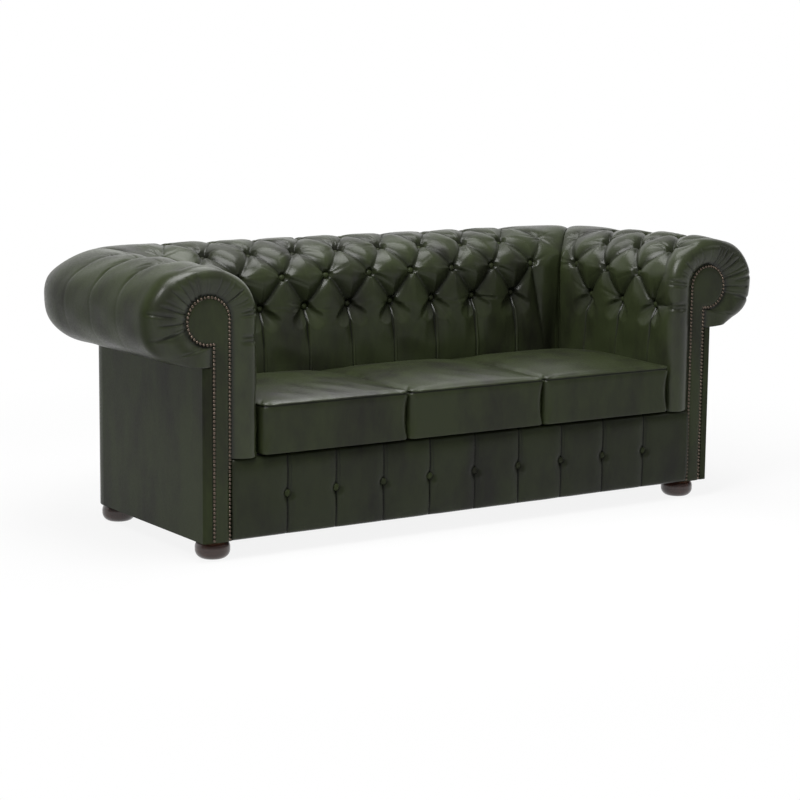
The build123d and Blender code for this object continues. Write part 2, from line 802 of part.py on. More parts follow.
# Left-hand pieces are mirror images of the right-hand ones.
handed = (
    arm_pad_right, scroll_facing_right, arm_front_board_right, facing_nails_right, arm_buttons_right,
    outer_arm_panel_right, side_rail_right, arm_top_rail_right, arm_tack_rail_right, arm_post_right,
    back_corner_post_right,
)
pieces = {}
for one in handed:
    label = one.part.label
    pieces[label] = one.part
    with BuildPart() as other:
        add(one.part)
        mirror(about=Plane.YZ, mode=Mode.REPLACE)
    other.part.label = label.replace("_right", "_left")
    pieces[other.part.label] = other.part
for one in (
    back_pad, back_buttons, front_border, border_buttons, outer_back_panel, front_rail, back_rail,
    seat_cross_rails, corner_blocks, back_top_rail, back_tack_rail, back_posts, seat_springs, spring_clips,
    seat_platform, dust_cover, foot_bolts, foot_tee_nuts,
):
    pieces[one.part.label] = one.part
pieces.update(feet)
pieces.update(cushion_parts)

os.makedirs("parts", exist_ok=True)
for label, piece in pieces.items():
    export_step(piece, "parts/" + label + ".step")
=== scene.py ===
"""Buttoned leather sofa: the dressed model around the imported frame, laid out as an add-on."""
import math
from types import SimpleNamespace

import bpy
import numpy as np
from mathutils import Matrix, Vector


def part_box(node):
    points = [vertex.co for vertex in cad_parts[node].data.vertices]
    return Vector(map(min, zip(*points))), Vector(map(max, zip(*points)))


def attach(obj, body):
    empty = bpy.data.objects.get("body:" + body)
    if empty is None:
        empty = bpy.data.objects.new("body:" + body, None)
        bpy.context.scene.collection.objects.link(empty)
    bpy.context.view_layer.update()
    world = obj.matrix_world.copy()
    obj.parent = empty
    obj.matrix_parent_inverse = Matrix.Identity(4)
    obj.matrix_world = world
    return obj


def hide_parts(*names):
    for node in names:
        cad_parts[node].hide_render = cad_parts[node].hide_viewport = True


bl_info = {
    "name": "Buttoned Sofa",
    "version": (1, 0, 0),
    "blender": (4, 5, 0),
    "location": "View3D > Sidebar > Sofa",
    "description": "Makes the pads, cushions, facings and finishes of a deep-buttoned sofa",
    "category": "Object",
}

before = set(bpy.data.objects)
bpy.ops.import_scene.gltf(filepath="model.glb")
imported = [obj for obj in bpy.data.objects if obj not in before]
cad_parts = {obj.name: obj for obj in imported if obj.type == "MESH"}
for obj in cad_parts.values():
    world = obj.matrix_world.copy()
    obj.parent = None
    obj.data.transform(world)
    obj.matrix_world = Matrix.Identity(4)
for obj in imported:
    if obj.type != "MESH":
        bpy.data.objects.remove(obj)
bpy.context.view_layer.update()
MM = 0.001
BODY = "sofa_body"
SIDES = (("right", 1.0), ("left", -1.0))


class SofaSizes(bpy.types.PropertyGroup):
    """Sizes of the soft work."""
    arm_axis: bpy.props.FloatProperty(
        name="Arm line", description="Inner crown line of the arms, from the middle", default=0.6925, unit="LENGTH")
    back_axis: bpy.props.FloatProperty(
        name="Back line", description="Inner crown line of the back", default=0.103, unit="LENGTH")
    front: bpy.props.FloatProperty(
        name="Facing plane", description="Front plane of the scroll facings", default=-0.4185, unit="LENGTH")
    roll_half_wide: bpy.props.FloatProperty(
        name="Roll half width", description="Half the width of the roll", default=0.16625, unit="LENGTH")
    roll_half_high: bpy.props.FloatProperty(
        name="Roll half height", description="Half the height of the roll", default=0.131, unit="LENGTH")
    roll_mid: bpy.props.FloatProperty(
        name="Roll middle", description="Height of the middle of the roll", default=0.648, unit="LENGTH")
    pad_foot: bpy.props.FloatProperty(
        name="Pad foot", description="Height of the lower edge of the pads", default=0.270, unit="LENGTH")
    back_pitch: bpy.props.FloatProperty(
        name="Back pitch", description="Distance between back buttons", default=0.1494, unit="LENGTH")
    arm_pitch: bpy.props.FloatProperty(
        name="Arm pitch", description="Distance between arm buttons", default=0.152, unit="LENGTH")
    arm_first: bpy.props.FloatProperty(
        name="First arm column", description="Rearmost lower arm button", default=-0.024, unit="LENGTH")
    scroll_radius: bpy.props.FloatProperty(
        name="Scroll radius", description="Radius of the facing's round head", default=0.068, unit="LENGTH")
    scroll_height: bpy.props.FloatProperty(
        name="Scroll height", description="Height of the scroll's centre", default=0.634, unit="LENGTH")
    nose: bpy.props.FloatProperty(
        name="Nose depth", description="Length of the rounded front of each arm", default=0.054, unit="LENGTH")
    crown: bpy.props.FloatProperty(
        name="Cushion crown", description="Rise of a cushion above its seam", default=0.024, unit="LENGTH")


class SofaFinish(bpy.types.PropertyGroup):
    """Colours of the finishes."""
    hide: bpy.props.FloatVectorProperty(
        name="Hide", description="Leather on the crowns", subtype="COLOR", size=3, default=(0.0265, 0.0335, 0.0140))
    # Painted shade: the colour that folds, seams and recesses are darkened towards, for the shade that falls in them
    hide_fold_shade: bpy.props.FloatVectorProperty(
        name="Painted fold shade", description="Painted shade in the creases", subtype="COLOR", size=3,
        default=(0.0060, 0.0068, 0.0044))
    hide_patch: bpy.props.FloatVectorProperty(
        name="Hide patches", description="Darker antiqued patches", subtype="COLOR", size=3,
        default=(0.0140, 0.0142, 0.0102))
    nail: bpy.props.FloatVectorProperty(
        name="Nail", description="Domed nail heads", subtype="COLOR", size=3, default=(0.19, 0.150, 0.118))
    foot: bpy.props.FloatVectorProperty(
        name="Foot", description="Turned feet", subtype="COLOR", size=3, default=(0.036, 0.0125, 0.0075))


def settings():
    """Sizes of the current scene, in millimetres, and its finish."""
    group = bpy.context.scene.sofa_sizes
    sizes = SimpleNamespace(**{name: getattr(group, name) / MM for name in SofaSizes.__annotations__})
    return sizes, bpy.context.scene.sofa_finish


def smooth(t):
    """Cubic step from 0 to 1, held flat outside."""
    t = np.clip(t, 0.0, 1.0)
    return t * t * (3 - 2 * t)


# Node groups and materials

COLOUR, NUMBER, VECTOR = "NodeSocketColor", "NodeSocketFloat", "NodeSocketVector"


def new_group(name, inputs, outputs):
    """Shader node group with the named sockets: inputs as name, socket type and default, outputs without default."""
    group = bpy.data.node_groups.new(name, "ShaderNodeTree")
    for label, kind, value in inputs:
        group.interface.new_socket(label, in_out="INPUT", socket_type=kind).default_value = value
    for label, kind in outputs:
        group.interface.new_socket(label, in_out="OUTPUT", socket_type=kind)
    return group, group.nodes.new("NodeGroupInput"), group.nodes.new("NodeGroupOutput")


def add(tree, kind, values=None, **options):
    """New shader node of a kind, with its options set, and values on its input sockets."""
    node = tree.nodes.new("ShaderNode" + kind)
    for key, value in options.items():
        setattr(node, key, value)
    for key, value in (values or {}).items():
        node.inputs[key].default_value = value
    return node


def wire(tree, *links):
    """Joins sockets, each link given as node, output, node and input."""
    for source, out, target, into in links:
        tree.links.new(source.outputs[out], target.inputs[into])


def hide_group():
    """Two-tone hide: crown colour, darker antiqued patches by slow noise, painted shade near black in the folds (from
    the crease attribute), with fine grain.
    """
    if "hide_tone" in bpy.data.node_groups:
        return bpy.data.node_groups["hide_tone"]
    tree, start, end = new_group(
        "hide_tone",
        [("Crown", COLOUR, (0.02, 0.03, 0.014, 1)), ("Fold shade", COLOUR, (0, 0, 0, 1)),
         ("Patch", COLOUR, (0.04, 0.05, 0.02, 1)), ("Patch size", NUMBER, 5.0), ("Gloss", NUMBER, 0.4)],
        [("Colour", COLOUR), ("Roughness", NUMBER), ("Height", NUMBER), ("Polish", NUMBER)])
    place = add(tree, "TexCoord")
    stretch = add(tree, "Mapping", {"Scale": (1.0, 1.0, 0.45)})
    fold = add(tree, "Attribute", attribute_name="crease")
    shine = add(tree, "Attribute", attribute_name="polish")
    cloud = add(tree, "TexNoise", {"Detail": 5.0, "Roughness": 0.62})
    ramp = add(tree, "MapRange", {"From Min": 0.42, "From Max": 0.70})
    patch = add(tree, "Mix", data_type="RGBA")
    # Painted shade: the crease attribute mixes the colour towards the fold shade colour in folds and recesses
    painted_shade = add(tree, "Mix", data_type="RGBA")
    pores = add(tree, "TexVoronoi", {"Scale": 620.0}, feature="F1")
    skin = add(tree, "TexNoise", {"Scale": 170.0, "Detail": 4.0})
    grain = add(tree, "Math", {1: 0.55}, operation="MULTIPLY_ADD")
    speck = add(tree, "MapRange", {"From Min": 0.35, "From Max": 0.72, "To Min": -0.05, "To Max": 0.09})
    rough = add(tree, "Math", operation="ADD")
    wire(
        tree,
        (place, "Object", stretch, "Vector"), (stretch, "Vector", cloud, "Vector"),
        (start, "Patch size", cloud, "Scale"), (cloud, "Fac", ramp, "Value"),
        (ramp, "Result", patch, "Factor"), (start, "Crown", patch, "A"), (start, "Patch", patch, "B"),
        (fold, "Fac", painted_shade, "Factor"), (patch, "Result", painted_shade, "A"), (start, "Fold shade", painted_shade, "B"),
        (painted_shade, "Result", end, "Colour"), (shine, "Fac", end, "Polish"),
        (place, "Object", pores, "Vector"), (place, "Object", skin, "Vector"),
        (pores, "Distance", grain, 0), (skin, "Fac", grain, 2), (grain, "Value", end, "Height"),
        (skin, "Fac", speck, "Value"), (speck, "Result", rough, 0), (start, "Gloss", rough, 1),
        (rough, "Value", end, "Roughness"))
    return tree


def grain_group():
    """Timber figure: noise stretched along one axis, warped into lines, as a mix of two colours."""
    if "timber_grain" in bpy.data.node_groups:
        return bpy.data.node_groups["timber_grain"]
    tree, start, end = new_group(
        "timber_grain",
        [("Light", COLOUR, (0.5, 0.35, 0.2, 1)), ("Dark", COLOUR, (0.3, 0.2, 0.1, 1)),
         ("Stretch", VECTOR, (4.0, 40.0, 40.0)), ("Gloss", NUMBER, 0.5)],
        [("Colour", COLOUR), ("Roughness", NUMBER), ("Height", NUMBER)])
    place = add(tree, "TexCoord")
    turn = add(tree, "Mapping")
    figure = add(tree, "TexNoise", {"Scale": 1.0, "Detail": 6.0, "Distortion": 0.8})
    mix = add(tree, "Mix", data_type="RGBA")
    rough = add(tree, "Math", {1: 0.15}, operation="MULTIPLY_ADD")
    wire(
        tree,
        (place, "Object", turn, "Vector"), (start, "Stretch", turn, "Scale"), (turn, "Vector", figure, "Vector"),
        (figure, "Fac", mix, "Factor"), (start, "Light", mix, "A"), (start, "Dark", mix, "B"),
        (mix, "Result", end, "Colour"), (figure, "Fac", rough, 0), (start, "Gloss", rough, 2),
        (rough, "Value", end, "Roughness"), (figure, "Fac", end, "Height"))
    return tree


def tarnish_group():
    """Aged metal: noise shifts the colour and the roughness."""
    if "tarnish" in bpy.data.node_groups:
        return bpy.data.node_groups["tarnish"]
    tree, start, end = new_group(
        "tarnish",
        [("Bright", COLOUR, (0.5, 0.4, 0.3, 1)), ("Dull", COLOUR, (0.2, 0.12, 0.08, 1)),
         ("Size", NUMBER, 150.0), ("Gloss", NUMBER, 0.3)],
        [("Colour", COLOUR), ("Roughness", NUMBER)])
    place = add(tree, "TexCoord")
    spots = add(tree, "TexNoise", {"Detail": 3.0})
    mix = add(tree, "Mix", data_type="RGBA")
    rough = add(tree, "Math", {1: 0.25}, operation="MULTIPLY_ADD")
    wire(
        tree,
        (place, "Object", spots, "Vector"), (start, "Size", spots, "Scale"),
        (spots, "Fac", mix, "Factor"), (start, "Bright", mix, "A"), (start, "Dull", mix, "B"),
        (mix, "Result", end, "Colour"), (spots, "Fac", rough, 0), (start, "Gloss", rough, 2),
        (rough, "Value", end, "Roughness"))
    return tree


def weave_group():
    """Plain weave: two crossed sine bands give thread height, and tint the cloth."""
    if "plain_weave" in bpy.data.node_groups:
        return bpy.data.node_groups["plain_weave"]
    tree, start, end = new_group(
        "plain_weave",
        [("Thread", COLOUR, (0.03, 0.03, 0.03, 1)), ("Gap", COLOUR, (0.01, 0.01, 0.01, 1)), ("Count", NUMBER, 700.0)],
        [("Colour", COLOUR), ("Height", NUMBER)])
    place = add(tree, "TexCoord")
    top = add(tree, "Math", operation="MAXIMUM")
    mix = add(tree, "Mix", data_type="RGBA")
    for slot, axis in enumerate("XY"):
        band = add(tree, "TexWave", bands_direction=axis)
        wire(tree, (place, "Object", band, "Vector"), (start, "Count", band, "Scale"), (band, "Fac", top, slot))
    wire(
        tree,
        (top, "Value", mix, "Factor"), (start, "Gap", mix, "A"), (start, "Thread", mix, "B"),
        (mix, "Result", end, "Colour"), (top, "Value", end, "Height"))
    return tree


def dressed(name, group, values, bump=0.0, bump_size=0.001, **sockets):
    """Material: one group feeding a Principled shader, with constant values on the shader's own sockets."""
    if name in bpy.data.materials:
        return bpy.data.materials[name]
    mat = bpy.data.materials.new(name)
    mat.use_nodes = True
    tree = mat.node_tree
    shader = tree.nodes["Principled BSDF"]
    tone = add(tree, "Group", values, node_tree=group)
    for out, into in (("Colour", "Base Color"), ("Roughness", "Roughness"), ("Polish", "Coat Weight")):
        if out in tone.outputs:
            wire(tree, (tone, out, shader, into))
    if bump:
        relief = add(tree, "Bump", {"Strength": bump, "Distance": bump_size})
        wire(tree, (tone, "Height", relief, "Height"), (relief, "Normal", shader, "Normal"))
    for key, value in sockets.items():
        shader.inputs[key.replace("_", " ")].default_value = value
    return mat


def rgba(colour, share=1.0):
    """Colour property as four numbers, scaled."""
    return (colour[0] * share, colour[1] * share, colour[2] * share, 1.0)


def hide_material():
    """Antique green hide, with painted shade in its folds."""
    finish = settings()[1]
    values = {"Crown": rgba(finish.hide), "Fold shade": rgba(finish.hide_fold_shade), "Patch": rgba(finish.hide_patch),
              "Patch size": 8.0, "Gloss": 0.34}
    return dressed("green_hide", hide_group(), values, bump=0.22, bump_size=0.0006,
                   Specular_IOR_Level=0.07, Coat_Roughness=0.27)


def lining_material():
    """Black woven lining."""
    return dressed("black_lining", weave_group(), {"Count": 260.0}, bump=0.3, bump_size=0.0005, Roughness=0.9)


# Mesh making


def mark(mesh, **fields):
    """Puts one number per vertex on a mesh under each name: crease for the painted shade of folds and recesses, polish
    for the coat.
    """
    for key, values in fields.items():
        mesh.attributes.new(key, "FLOAT", "POINT").data.foreach_set("value", values.ravel().astype(np.float32))


def skin_object(name, points, faces, material, **fields):
    """Mesh object at the origin from points in millimetres, smooth shaded, with its fields marked on it."""
    mesh = bpy.data.meshes.new(name)
    mesh.from_pydata((points * MM).tolist(), [], faces)
    mesh.update()
    mesh.shade_smooth()
    mark(mesh, **fields)
    obj = bpy.data.objects.new(name, mesh)
    bpy.context.scene.collection.objects.link(obj)
    mesh.materials.append(material)
    return obj


def loop_faces(rows, loop, flip=False):
    """Quads between closed loops laid row by row, with one flat face over each end."""
    r = np.arange(rows - 1)[:, None] * loop
    c = np.arange(loop)[None, :]
    n = (c + 1) % loop
    quads = np.stack([r + c, r + n, r + loop + n, r + loop + c], axis=-1).reshape(-1, 4)
    first = np.arange(loop)[::-1]
    last = np.arange(loop) + (rows - 1) * loop
    if flip:
        quads, first, last = quads[:, ::-1], first[::-1], last[::-1]
    return quads.tolist() + [first.tolist(), last.tolist()]


def slab(front, back, axis=1):
    """Closed net from a grid of front points: the same grid flat at back along one axis, joined round the rim."""
    rows, cols = front.shape[:2]
    behind = front.copy()
    behind[..., axis] = back
    points = np.concatenate([front.reshape(-1, 3), behind.reshape(-1, 3)])
    r, c = np.meshgrid(np.arange(rows - 1), np.arange(cols - 1), indexing="ij")
    a = (r * cols + c).ravel()
    face = np.stack([a, a + 1, a + cols + 1, a + cols], axis=1)
    far = rows * cols
    rim = np.concatenate([
        np.arange(cols), (np.arange(1, rows) + 1) * cols - 1,
        rows * cols - 1 - np.arange(1, cols), np.arange(rows - 2, 0, -1) * cols,
    ])
    after = np.roll(rim, -1)
    side = np.stack([after, rim, rim + far, after + far], axis=1)
    return points, np.concatenate([face, face[:, ::-1] + far, side])


# The shared section: powers and places in millimetres and degrees
UNDER_POWER = 2.5
SECTION_END = -72.0
CROWN_DROP, CROWN_FROM, CROWN_OVER = 10.0, 36.0, 70.0


class Roll:
    """The shared section of arms and back: a straight inner face and an elliptical roll, by distance along it.

    Below its middle the roll is fuller, |x/a|^n + |z/b|^n = 1 with n = UNDER_POWER.
    """

    def __init__(self, step):
        size = settings()[0]
        self.size = size
        a, b, mid = size.roll_half_wide, size.roll_half_high, size.roll_mid
        rise = np.linspace(size.pad_foot, mid, 400)
        turn = np.radians(np.linspace(180.0, SECTION_END, 1600))[1:]
        power = np.where(turn < 0, 2 / UNDER_POWER, 1.0)
        cos, sin = np.cos(turn), np.sin(turn)
        s = np.concatenate([np.zeros_like(rise), a + a * np.sign(cos) * np.abs(cos) ** power])
        z = np.concatenate([rise, mid + b * np.sign(sin) * np.abs(sin) ** power])
        run = np.concatenate([[0.0], np.cumsum(np.hypot(np.diff(s), np.diff(z)))])
        self.length = run[-1]
        self.count = int(self.length / step) + 1
        self.v = np.linspace(0.0, self.length, self.count)
        self.s = np.interp(self.v, run, s)
        self.z = np.interp(self.v, run, z)
        ds, dz = np.gradient(self.s), np.gradient(self.z)
        long = np.hypot(ds, dz)
        self.in_s, self.in_z = dz / long, -ds / long
        self.fine = (s, z, run)

    def top_share(self):
        """0 at the sides of the roll, 1 over its top."""
        return smooth((self.z - self.size.roll_mid - CROWN_FROM) / CROWN_OVER)

    def seat(self, s, z):
        """Distance along the section to the crown point nearest a button, and the button's depth below it."""
        fs, fz, run = self.fine
        d = np.hypot(fs - s, fz - z)
        k = int(np.argmin(d))
        return run[k], d[k]


# Button rows as distance from the crown line and height, and the reach of each kind of fold
ROW_POINTS = {1: (28.5, 580.0), 2: (28.5, 667.0), 3: (95.0, 724.0), 4: (181.0, 756.0)}
DIAMOND, PLEAT, CREASE = 58.0, 42.0, 17.0
FULL_FOLD, LINE_FOLD, LINE_WIDE = 20.0, 9.0, 2.6
# A pleat's foot below row 1, and the ends of the pleat over the roll: distance along the section and depth
PLEAT_FOOT = (200.0, 4.0)
OVER_ROLL, OVER_DEEP, FADE_LONG, FADE_DEEP, END_SHORT, END_DEEP = 78.0, 6.5, 95.0, 0.8, 60.0, 0.2
# Row 3 ends in the corner: this far past the last button of row 2, this far below row 3, this deep
CORNER_STEP, CORNER_SINK, CORNER_DEEP = 66.0, 14.0, 14.0


def fold_field(u, v, folds):
    """Depth below the crown at every (u, v): the deepest of all folds, each a rounded trench about a straight line.

    A trench falls off with distance x (as a share of its reach) like 0.62 (1 - sqrt(1 - (1 - x)^2)) + 0.38 (1 - x)^2,
    which leaves full round pillows between sharp creases, and is shallower half-way between its two ends.
    Also returns how much of its fold each point lies in, and a thin line along the bottom of each fold.
    """
    deep = np.zeros(np.broadcast(u, v).shape)
    share = np.zeros_like(deep)
    line = np.zeros_like(deep)
    for (u0, v0, d0), (u1, v1, d1), slack, reach in folds:
        du, dv = u1 - u0, v1 - v0
        t = np.clip(((u - u0) * du + (v - v0) * dv) / (du * du + dv * dv), 0.0, 1.0)
        x = np.clip(np.hypot(u - u0 - t * du, v - v0 - t * dv) / reach, 0.0, 1.0)
        trench = 0.62 * (1 - np.sqrt(1 - (1 - x) ** 2)) + 0.38 * (1 - x) ** 2
        local = (d0 + (d1 - d0) * t) * (1 - slack * 4 * t * (1 - t))
        deep = np.maximum(deep, local * trench)
        share = np.maximum(share, trench * np.clip(local / FULL_FOLD, 0.0, 1.0))
        line = np.maximum(line, np.exp(-x * reach / LINE_WIDE) * np.clip(local / LINE_FOLD, 0.0, 1.0))
    return deep, share, line


WELL_FLAT, WELL_RIM, LOW_RIM, WELL_EXTRA = 9.0, 25.0, 76.0, 1.5
CREASES = 13


def pulled(u, v, spots, seed, lowest):
    """Pull of the buttons: a flat well (depth + 1.5) smooth((rim - r) / (rim - flat)), and creases that run out of it.

    Below the lowest row the well opens into a shallow cone of radius LOW_RIM.
    Each crease lies along a ray at a seeded angle and is high (r / 14) exp(-r / long) exp(-(q / wide)^2) deep,
    where q is the distance from the ray.
    """
    rng = np.random.default_rng(seed)
    well = np.zeros(u.shape)
    crease = np.zeros(u.shape)
    for u0, v0, depth in spots:
        rows = np.nonzero(np.abs(u[:, 0] - u0) < LOW_RIM)[0]
        cols = np.nonzero(np.abs(v[0] - v0) < LOW_RIM)[0]
        block = np.ix_(rows, cols)
        x, y = u[block] - u0, v[block] - v0
        r = np.hypot(x, y)
        a = np.arctan2(y, x)
        open_low = smooth(-np.sin(a) / 0.75) * (v0 < lowest + 1.0)
        rim = WELL_RIM + (LOW_RIM - WELL_RIM) * open_low
        inside = np.clip((rim - r) / (rim - WELL_FLAT), 0.0, 1.0)
        sunk = smooth(inside) * (1 - open_low) + inside ** 1.2 * open_low
        well[block] = np.maximum(well[block], (depth + WELL_EXTRA) * sunk)
        for turn in rng.uniform(0, 2 * math.pi, CREASES):
            high, long, wide = rng.uniform(1.6, 5.0), rng.uniform(11.0, 24.0), rng.uniform(3.0, 4.6)
            ahead = np.cos(a - turn) > 0
            crease[block] += ahead * high * (r / 14.0) * np.exp(-r / long - (r * np.sin(a - turn) / wide) ** 2)
    return well, crease


def buttoning(roll, low_columns, high_columns, pitch):
    """Folds of the diamond pattern, the button spots, and each row's distance along the section and depth.

    Rows 1 and 3 stand on the low columns, rows 2 and 4 on the high ones. Pleats run down from row 1 and, in three
    lengths that grow shallow, over the roll from row 4.
    """
    seat = {row: roll.seat(*point) for row, point in ROW_POINTS.items()}
    folds, spots = [], []
    for u in low_columns:
        spots += [(u, *seat[row]) for row in (1, 3)]
        folds.append(((u, *seat[1]), (u, *PLEAT_FOOT), 0.10, PLEAT))
        for w in high_columns:
            if abs(abs(w - u) - pitch / 2) < 1.0:
                for low, high in ((1, 2), (3, 2), (3, 4)):
                    folds.append(((u, *seat[low]), (w, *seat[high]), 0.34, DIAMOND))
    for w in high_columns:
        spots += [(w, *seat[row]) for row in (2, 4)]
        over = (w, seat[4][0] + OVER_ROLL, OVER_DEEP)
        fade = (w, over[1] + FADE_LONG, FADE_DEEP)
        folds.append(((w, *seat[4]), over, 0.2, PLEAT))
        folds.append((over, fade, 0.0, CREASE))
        folds.append((fade, (w, roll.length - END_SHORT, END_DEEP), 0.0, CREASE))
    return folds, spots, seat


def corner_folds(seat, u, step):
    """Folds from the last buttons of rows 2 and 4 to the end of row 3 in the corner, and that end as a spot."""
    end = (u + step, seat[3][0] - CORNER_SINK)
    return [((u, *seat[row]), (*end, CORNER_DEEP), 0.25, DIAMOND) for row in (2, 4)], (*end, 0.0)


def pleat_lines(u, v, columns, top, seed):
    """Sewn pleats below row 1: a groove 3.2 exp(-|d / 2.2|^1.4) with a raised lip beside it, d the distance from a line
    that leans by a seeded amount, and soft folds that spread from the button and fade downwards."""
    rng = np.random.default_rng(seed)
    groove = np.zeros(u.shape)
    drape = np.zeros(u.shape)
    down = np.clip((top - v) / (top - 20.0), 0.0, 1.0)
    inside = smooth((top - v) / 26.0)
    for u0 in columns:
        d = u - u0 - rng.uniform(-5.0, 5.0) * down
        groove += inside * (3.2 * np.exp(-(np.abs(d) / 2.2) ** 1.4) - 1.9 * np.exp(-(((d - 5.0) / 3.0) ** 2)))
        for side in (-1.0, 1.0):
            for k in range(3):
                lean = side * (9.0 + 13.0 * k + rng.uniform(-3.0, 3.0))
                wave = np.exp(-(((u - u0 - lean * (0.5 + down)) / (4.5 + 2.0 * k)) ** 2))
                drape += rng.uniform(0.7, 2.4) * wave * inside * np.clip(1 - down / rng.uniform(0.45, 0.9), 0, 1)
    return groove, drape


def fine_near(even, columns):
    """Even samples with closer ones added about each pleat's column, sorted."""
    extra = [c + np.arange(-10.0, 13.0, 1.7) for c in columns]
    merged = np.unique(np.round(np.concatenate([even] + extra), 3))
    keep = np.concatenate([[True], np.diff(merged) > 0.5])
    return merged[keep & (merged >= even[0]) & (merged <= even[-1])]


def slow_waves(u, v, seed, high):
    """Unevenness of hand-stuffed work: four slow sine waves of seeded direction."""
    rng = np.random.default_rng(seed)
    total = np.zeros(np.broadcast(u, v).shape)
    for _ in range(4):
        ku, kv = rng.uniform(-1, 1, 2) / 90.0
        total += np.sin(2 * math.pi * (u * ku + v * kv) + rng.uniform(0, 6.28))
    return total * high / 4


MITRE = math.pi / 4
MITRE_TURN = np.linspace(MITRE, 0.0, 20)[:-1]
CORNER_LONG = 90.0
SEAM_DEEP, SEAM_WIDE, SEAM_FROM = 9.0, 16.0, 40.0


def buttoned(roll, u, angle, folds, spots, columns, seeds, uneven, drop):
    """Relief of a buttoned pad over u along it and v along its section, as named fields.

    deep is the larger of fold and well, plus creases, pleats, slow waves, a drop over the top of the roll where no fold
    runs, and the seam at the mitre, SEAM_DEEP exp(-distance / SEAM_WIDE).
    """
    grid_u, grid_v = np.meshgrid(u, roll.v, indexing="ij")
    lowest = roll.seat(*ROW_POINTS[1])[0]
    deep, share, line = fold_field(grid_u, grid_v, folds)
    well, crease = pulled(grid_u, grid_v, spots, seeds[0], lowest)
    groove, drape = pleat_lines(grid_u, grid_v, columns, lowest, seeds[1])
    deep = np.maximum(deep, well) + crease + groove + drape + slow_waves(grid_u, grid_v, seeds[2], uneven)
    deep = deep + drop[:, None] * roll.top_share()[None, :] * (1 - share)
    past = (MITRE - angle)[:, None] * (roll.s[None, :] + SEAM_FROM)
    seam = SEAM_DEEP * np.exp(-past / SEAM_WIDE) * (angle[:, None] > 0)
    return SimpleNamespace(deep=deep + seam, share=share, line=line, crease=crease, groove=groove, seam=seam)


def painted_fold_shade(relief, flat=1.0, ripple=0.0):
    """Painted shade from 0 to 1, for the shade that falls in folds, creases, the mitre seam and ripples, then in the
    fold lines and the sewn grooves.
    """
    soft = (relief.share + relief.crease * 0.05) * flat + relief.seam / SEAM_DEEP * 0.7 + ripple * 0.12
    painted_shade = np.maximum(0.75 * np.clip(soft, 0, 1) ** 1.25, relief.line * flat * 0.95)
    return np.clip(painted_shade + np.clip(relief.groove, 0, 3) * 0.25 * flat, 0, 1)


def with_walls(field, loop):
    """Field over the outside points, with zeros for the hidden walls that close each loop."""
    return np.concatenate([field, np.zeros((len(field), loop - field.shape[1]))], axis=1)


# Hidden walls: the frame corner's post and the gap to it, the straight walls, and where the inner face may shift
POST_X, POST_Y, POST_RADIUS, POST_GAP = 72.5, 56.0, 88.0, 4.0
BACK_HUG, ARM_HUG = 144.0, 160.5
WALL_IN, WALL_LOW, WALL_HIGH = 83.0, 512.6, 660.0
SHIFT_FROM, SHIFT_OVER, INNER_FACE = 430.0, 190.0, 60.0


def corner_hug(angle):
    """Distance from the corner axis to the round post of the frame corner, plus a gap."""
    along = POST_X * np.cos(angle) + POST_Y * np.sin(angle)
    return along + np.sqrt(along ** 2 - POST_X ** 2 - POST_Y ** 2 + POST_RADIUS ** 2) + POST_GAP


def carry(roll, deep, low, hug):
    """Section loops: outside points sunk by deep along the inward normal, then the hidden walls.

    The lower part of the inner face is shifted by low.
    """
    shift = (1 - smooth((roll.z - SHIFT_FROM) / SHIFT_OVER)) * (roll.s < INNER_FACE)
    s = roll.s[None, :] + roll.in_s[None, :] * deep + low[:, None] * shift[None, :]
    z = roll.z[None, :] + roll.in_z[None, :] * deep
    inner = np.full(len(hug), WALL_IN)
    wall_s = np.stack([hug, hug, inner, inner], axis=1)
    wall_z = np.tile(np.array([WALL_LOW, WALL_HIGH, WALL_HIGH, roll.size.pad_foot]), (len(hug), 1))
    return np.concatenate([s, wall_s], axis=1), np.concatenate([z, wall_z], axis=1)


def spread(stations, s, z):
    """Points of section loops, from one row per station: origin x, origin y, direction x, direction y."""
    x = stations[:, 0:1] + s * stations[:, 2:3]
    y = stations[:, 1:2] + s * stations[:, 3:4]
    return np.stack([x, y, z], axis=-1)


def polish_over(roll, loop):
    """Polish along the section: full on the seat side and the crown, little on the outside and the hidden walls."""
    out = np.full(loop, 0.05)
    out[: roll.count] = 0.05 + 0.30 * (1 - smooth((roll.s - 150.0) / 120.0))
    return out


# Inner corner: how far the pads draw in there, over what length, and how far the back stands forward elsewhere
CREASE_IN, CREASE_REACH, BACK_FORWARD = 10.0, 70.0, 6.0


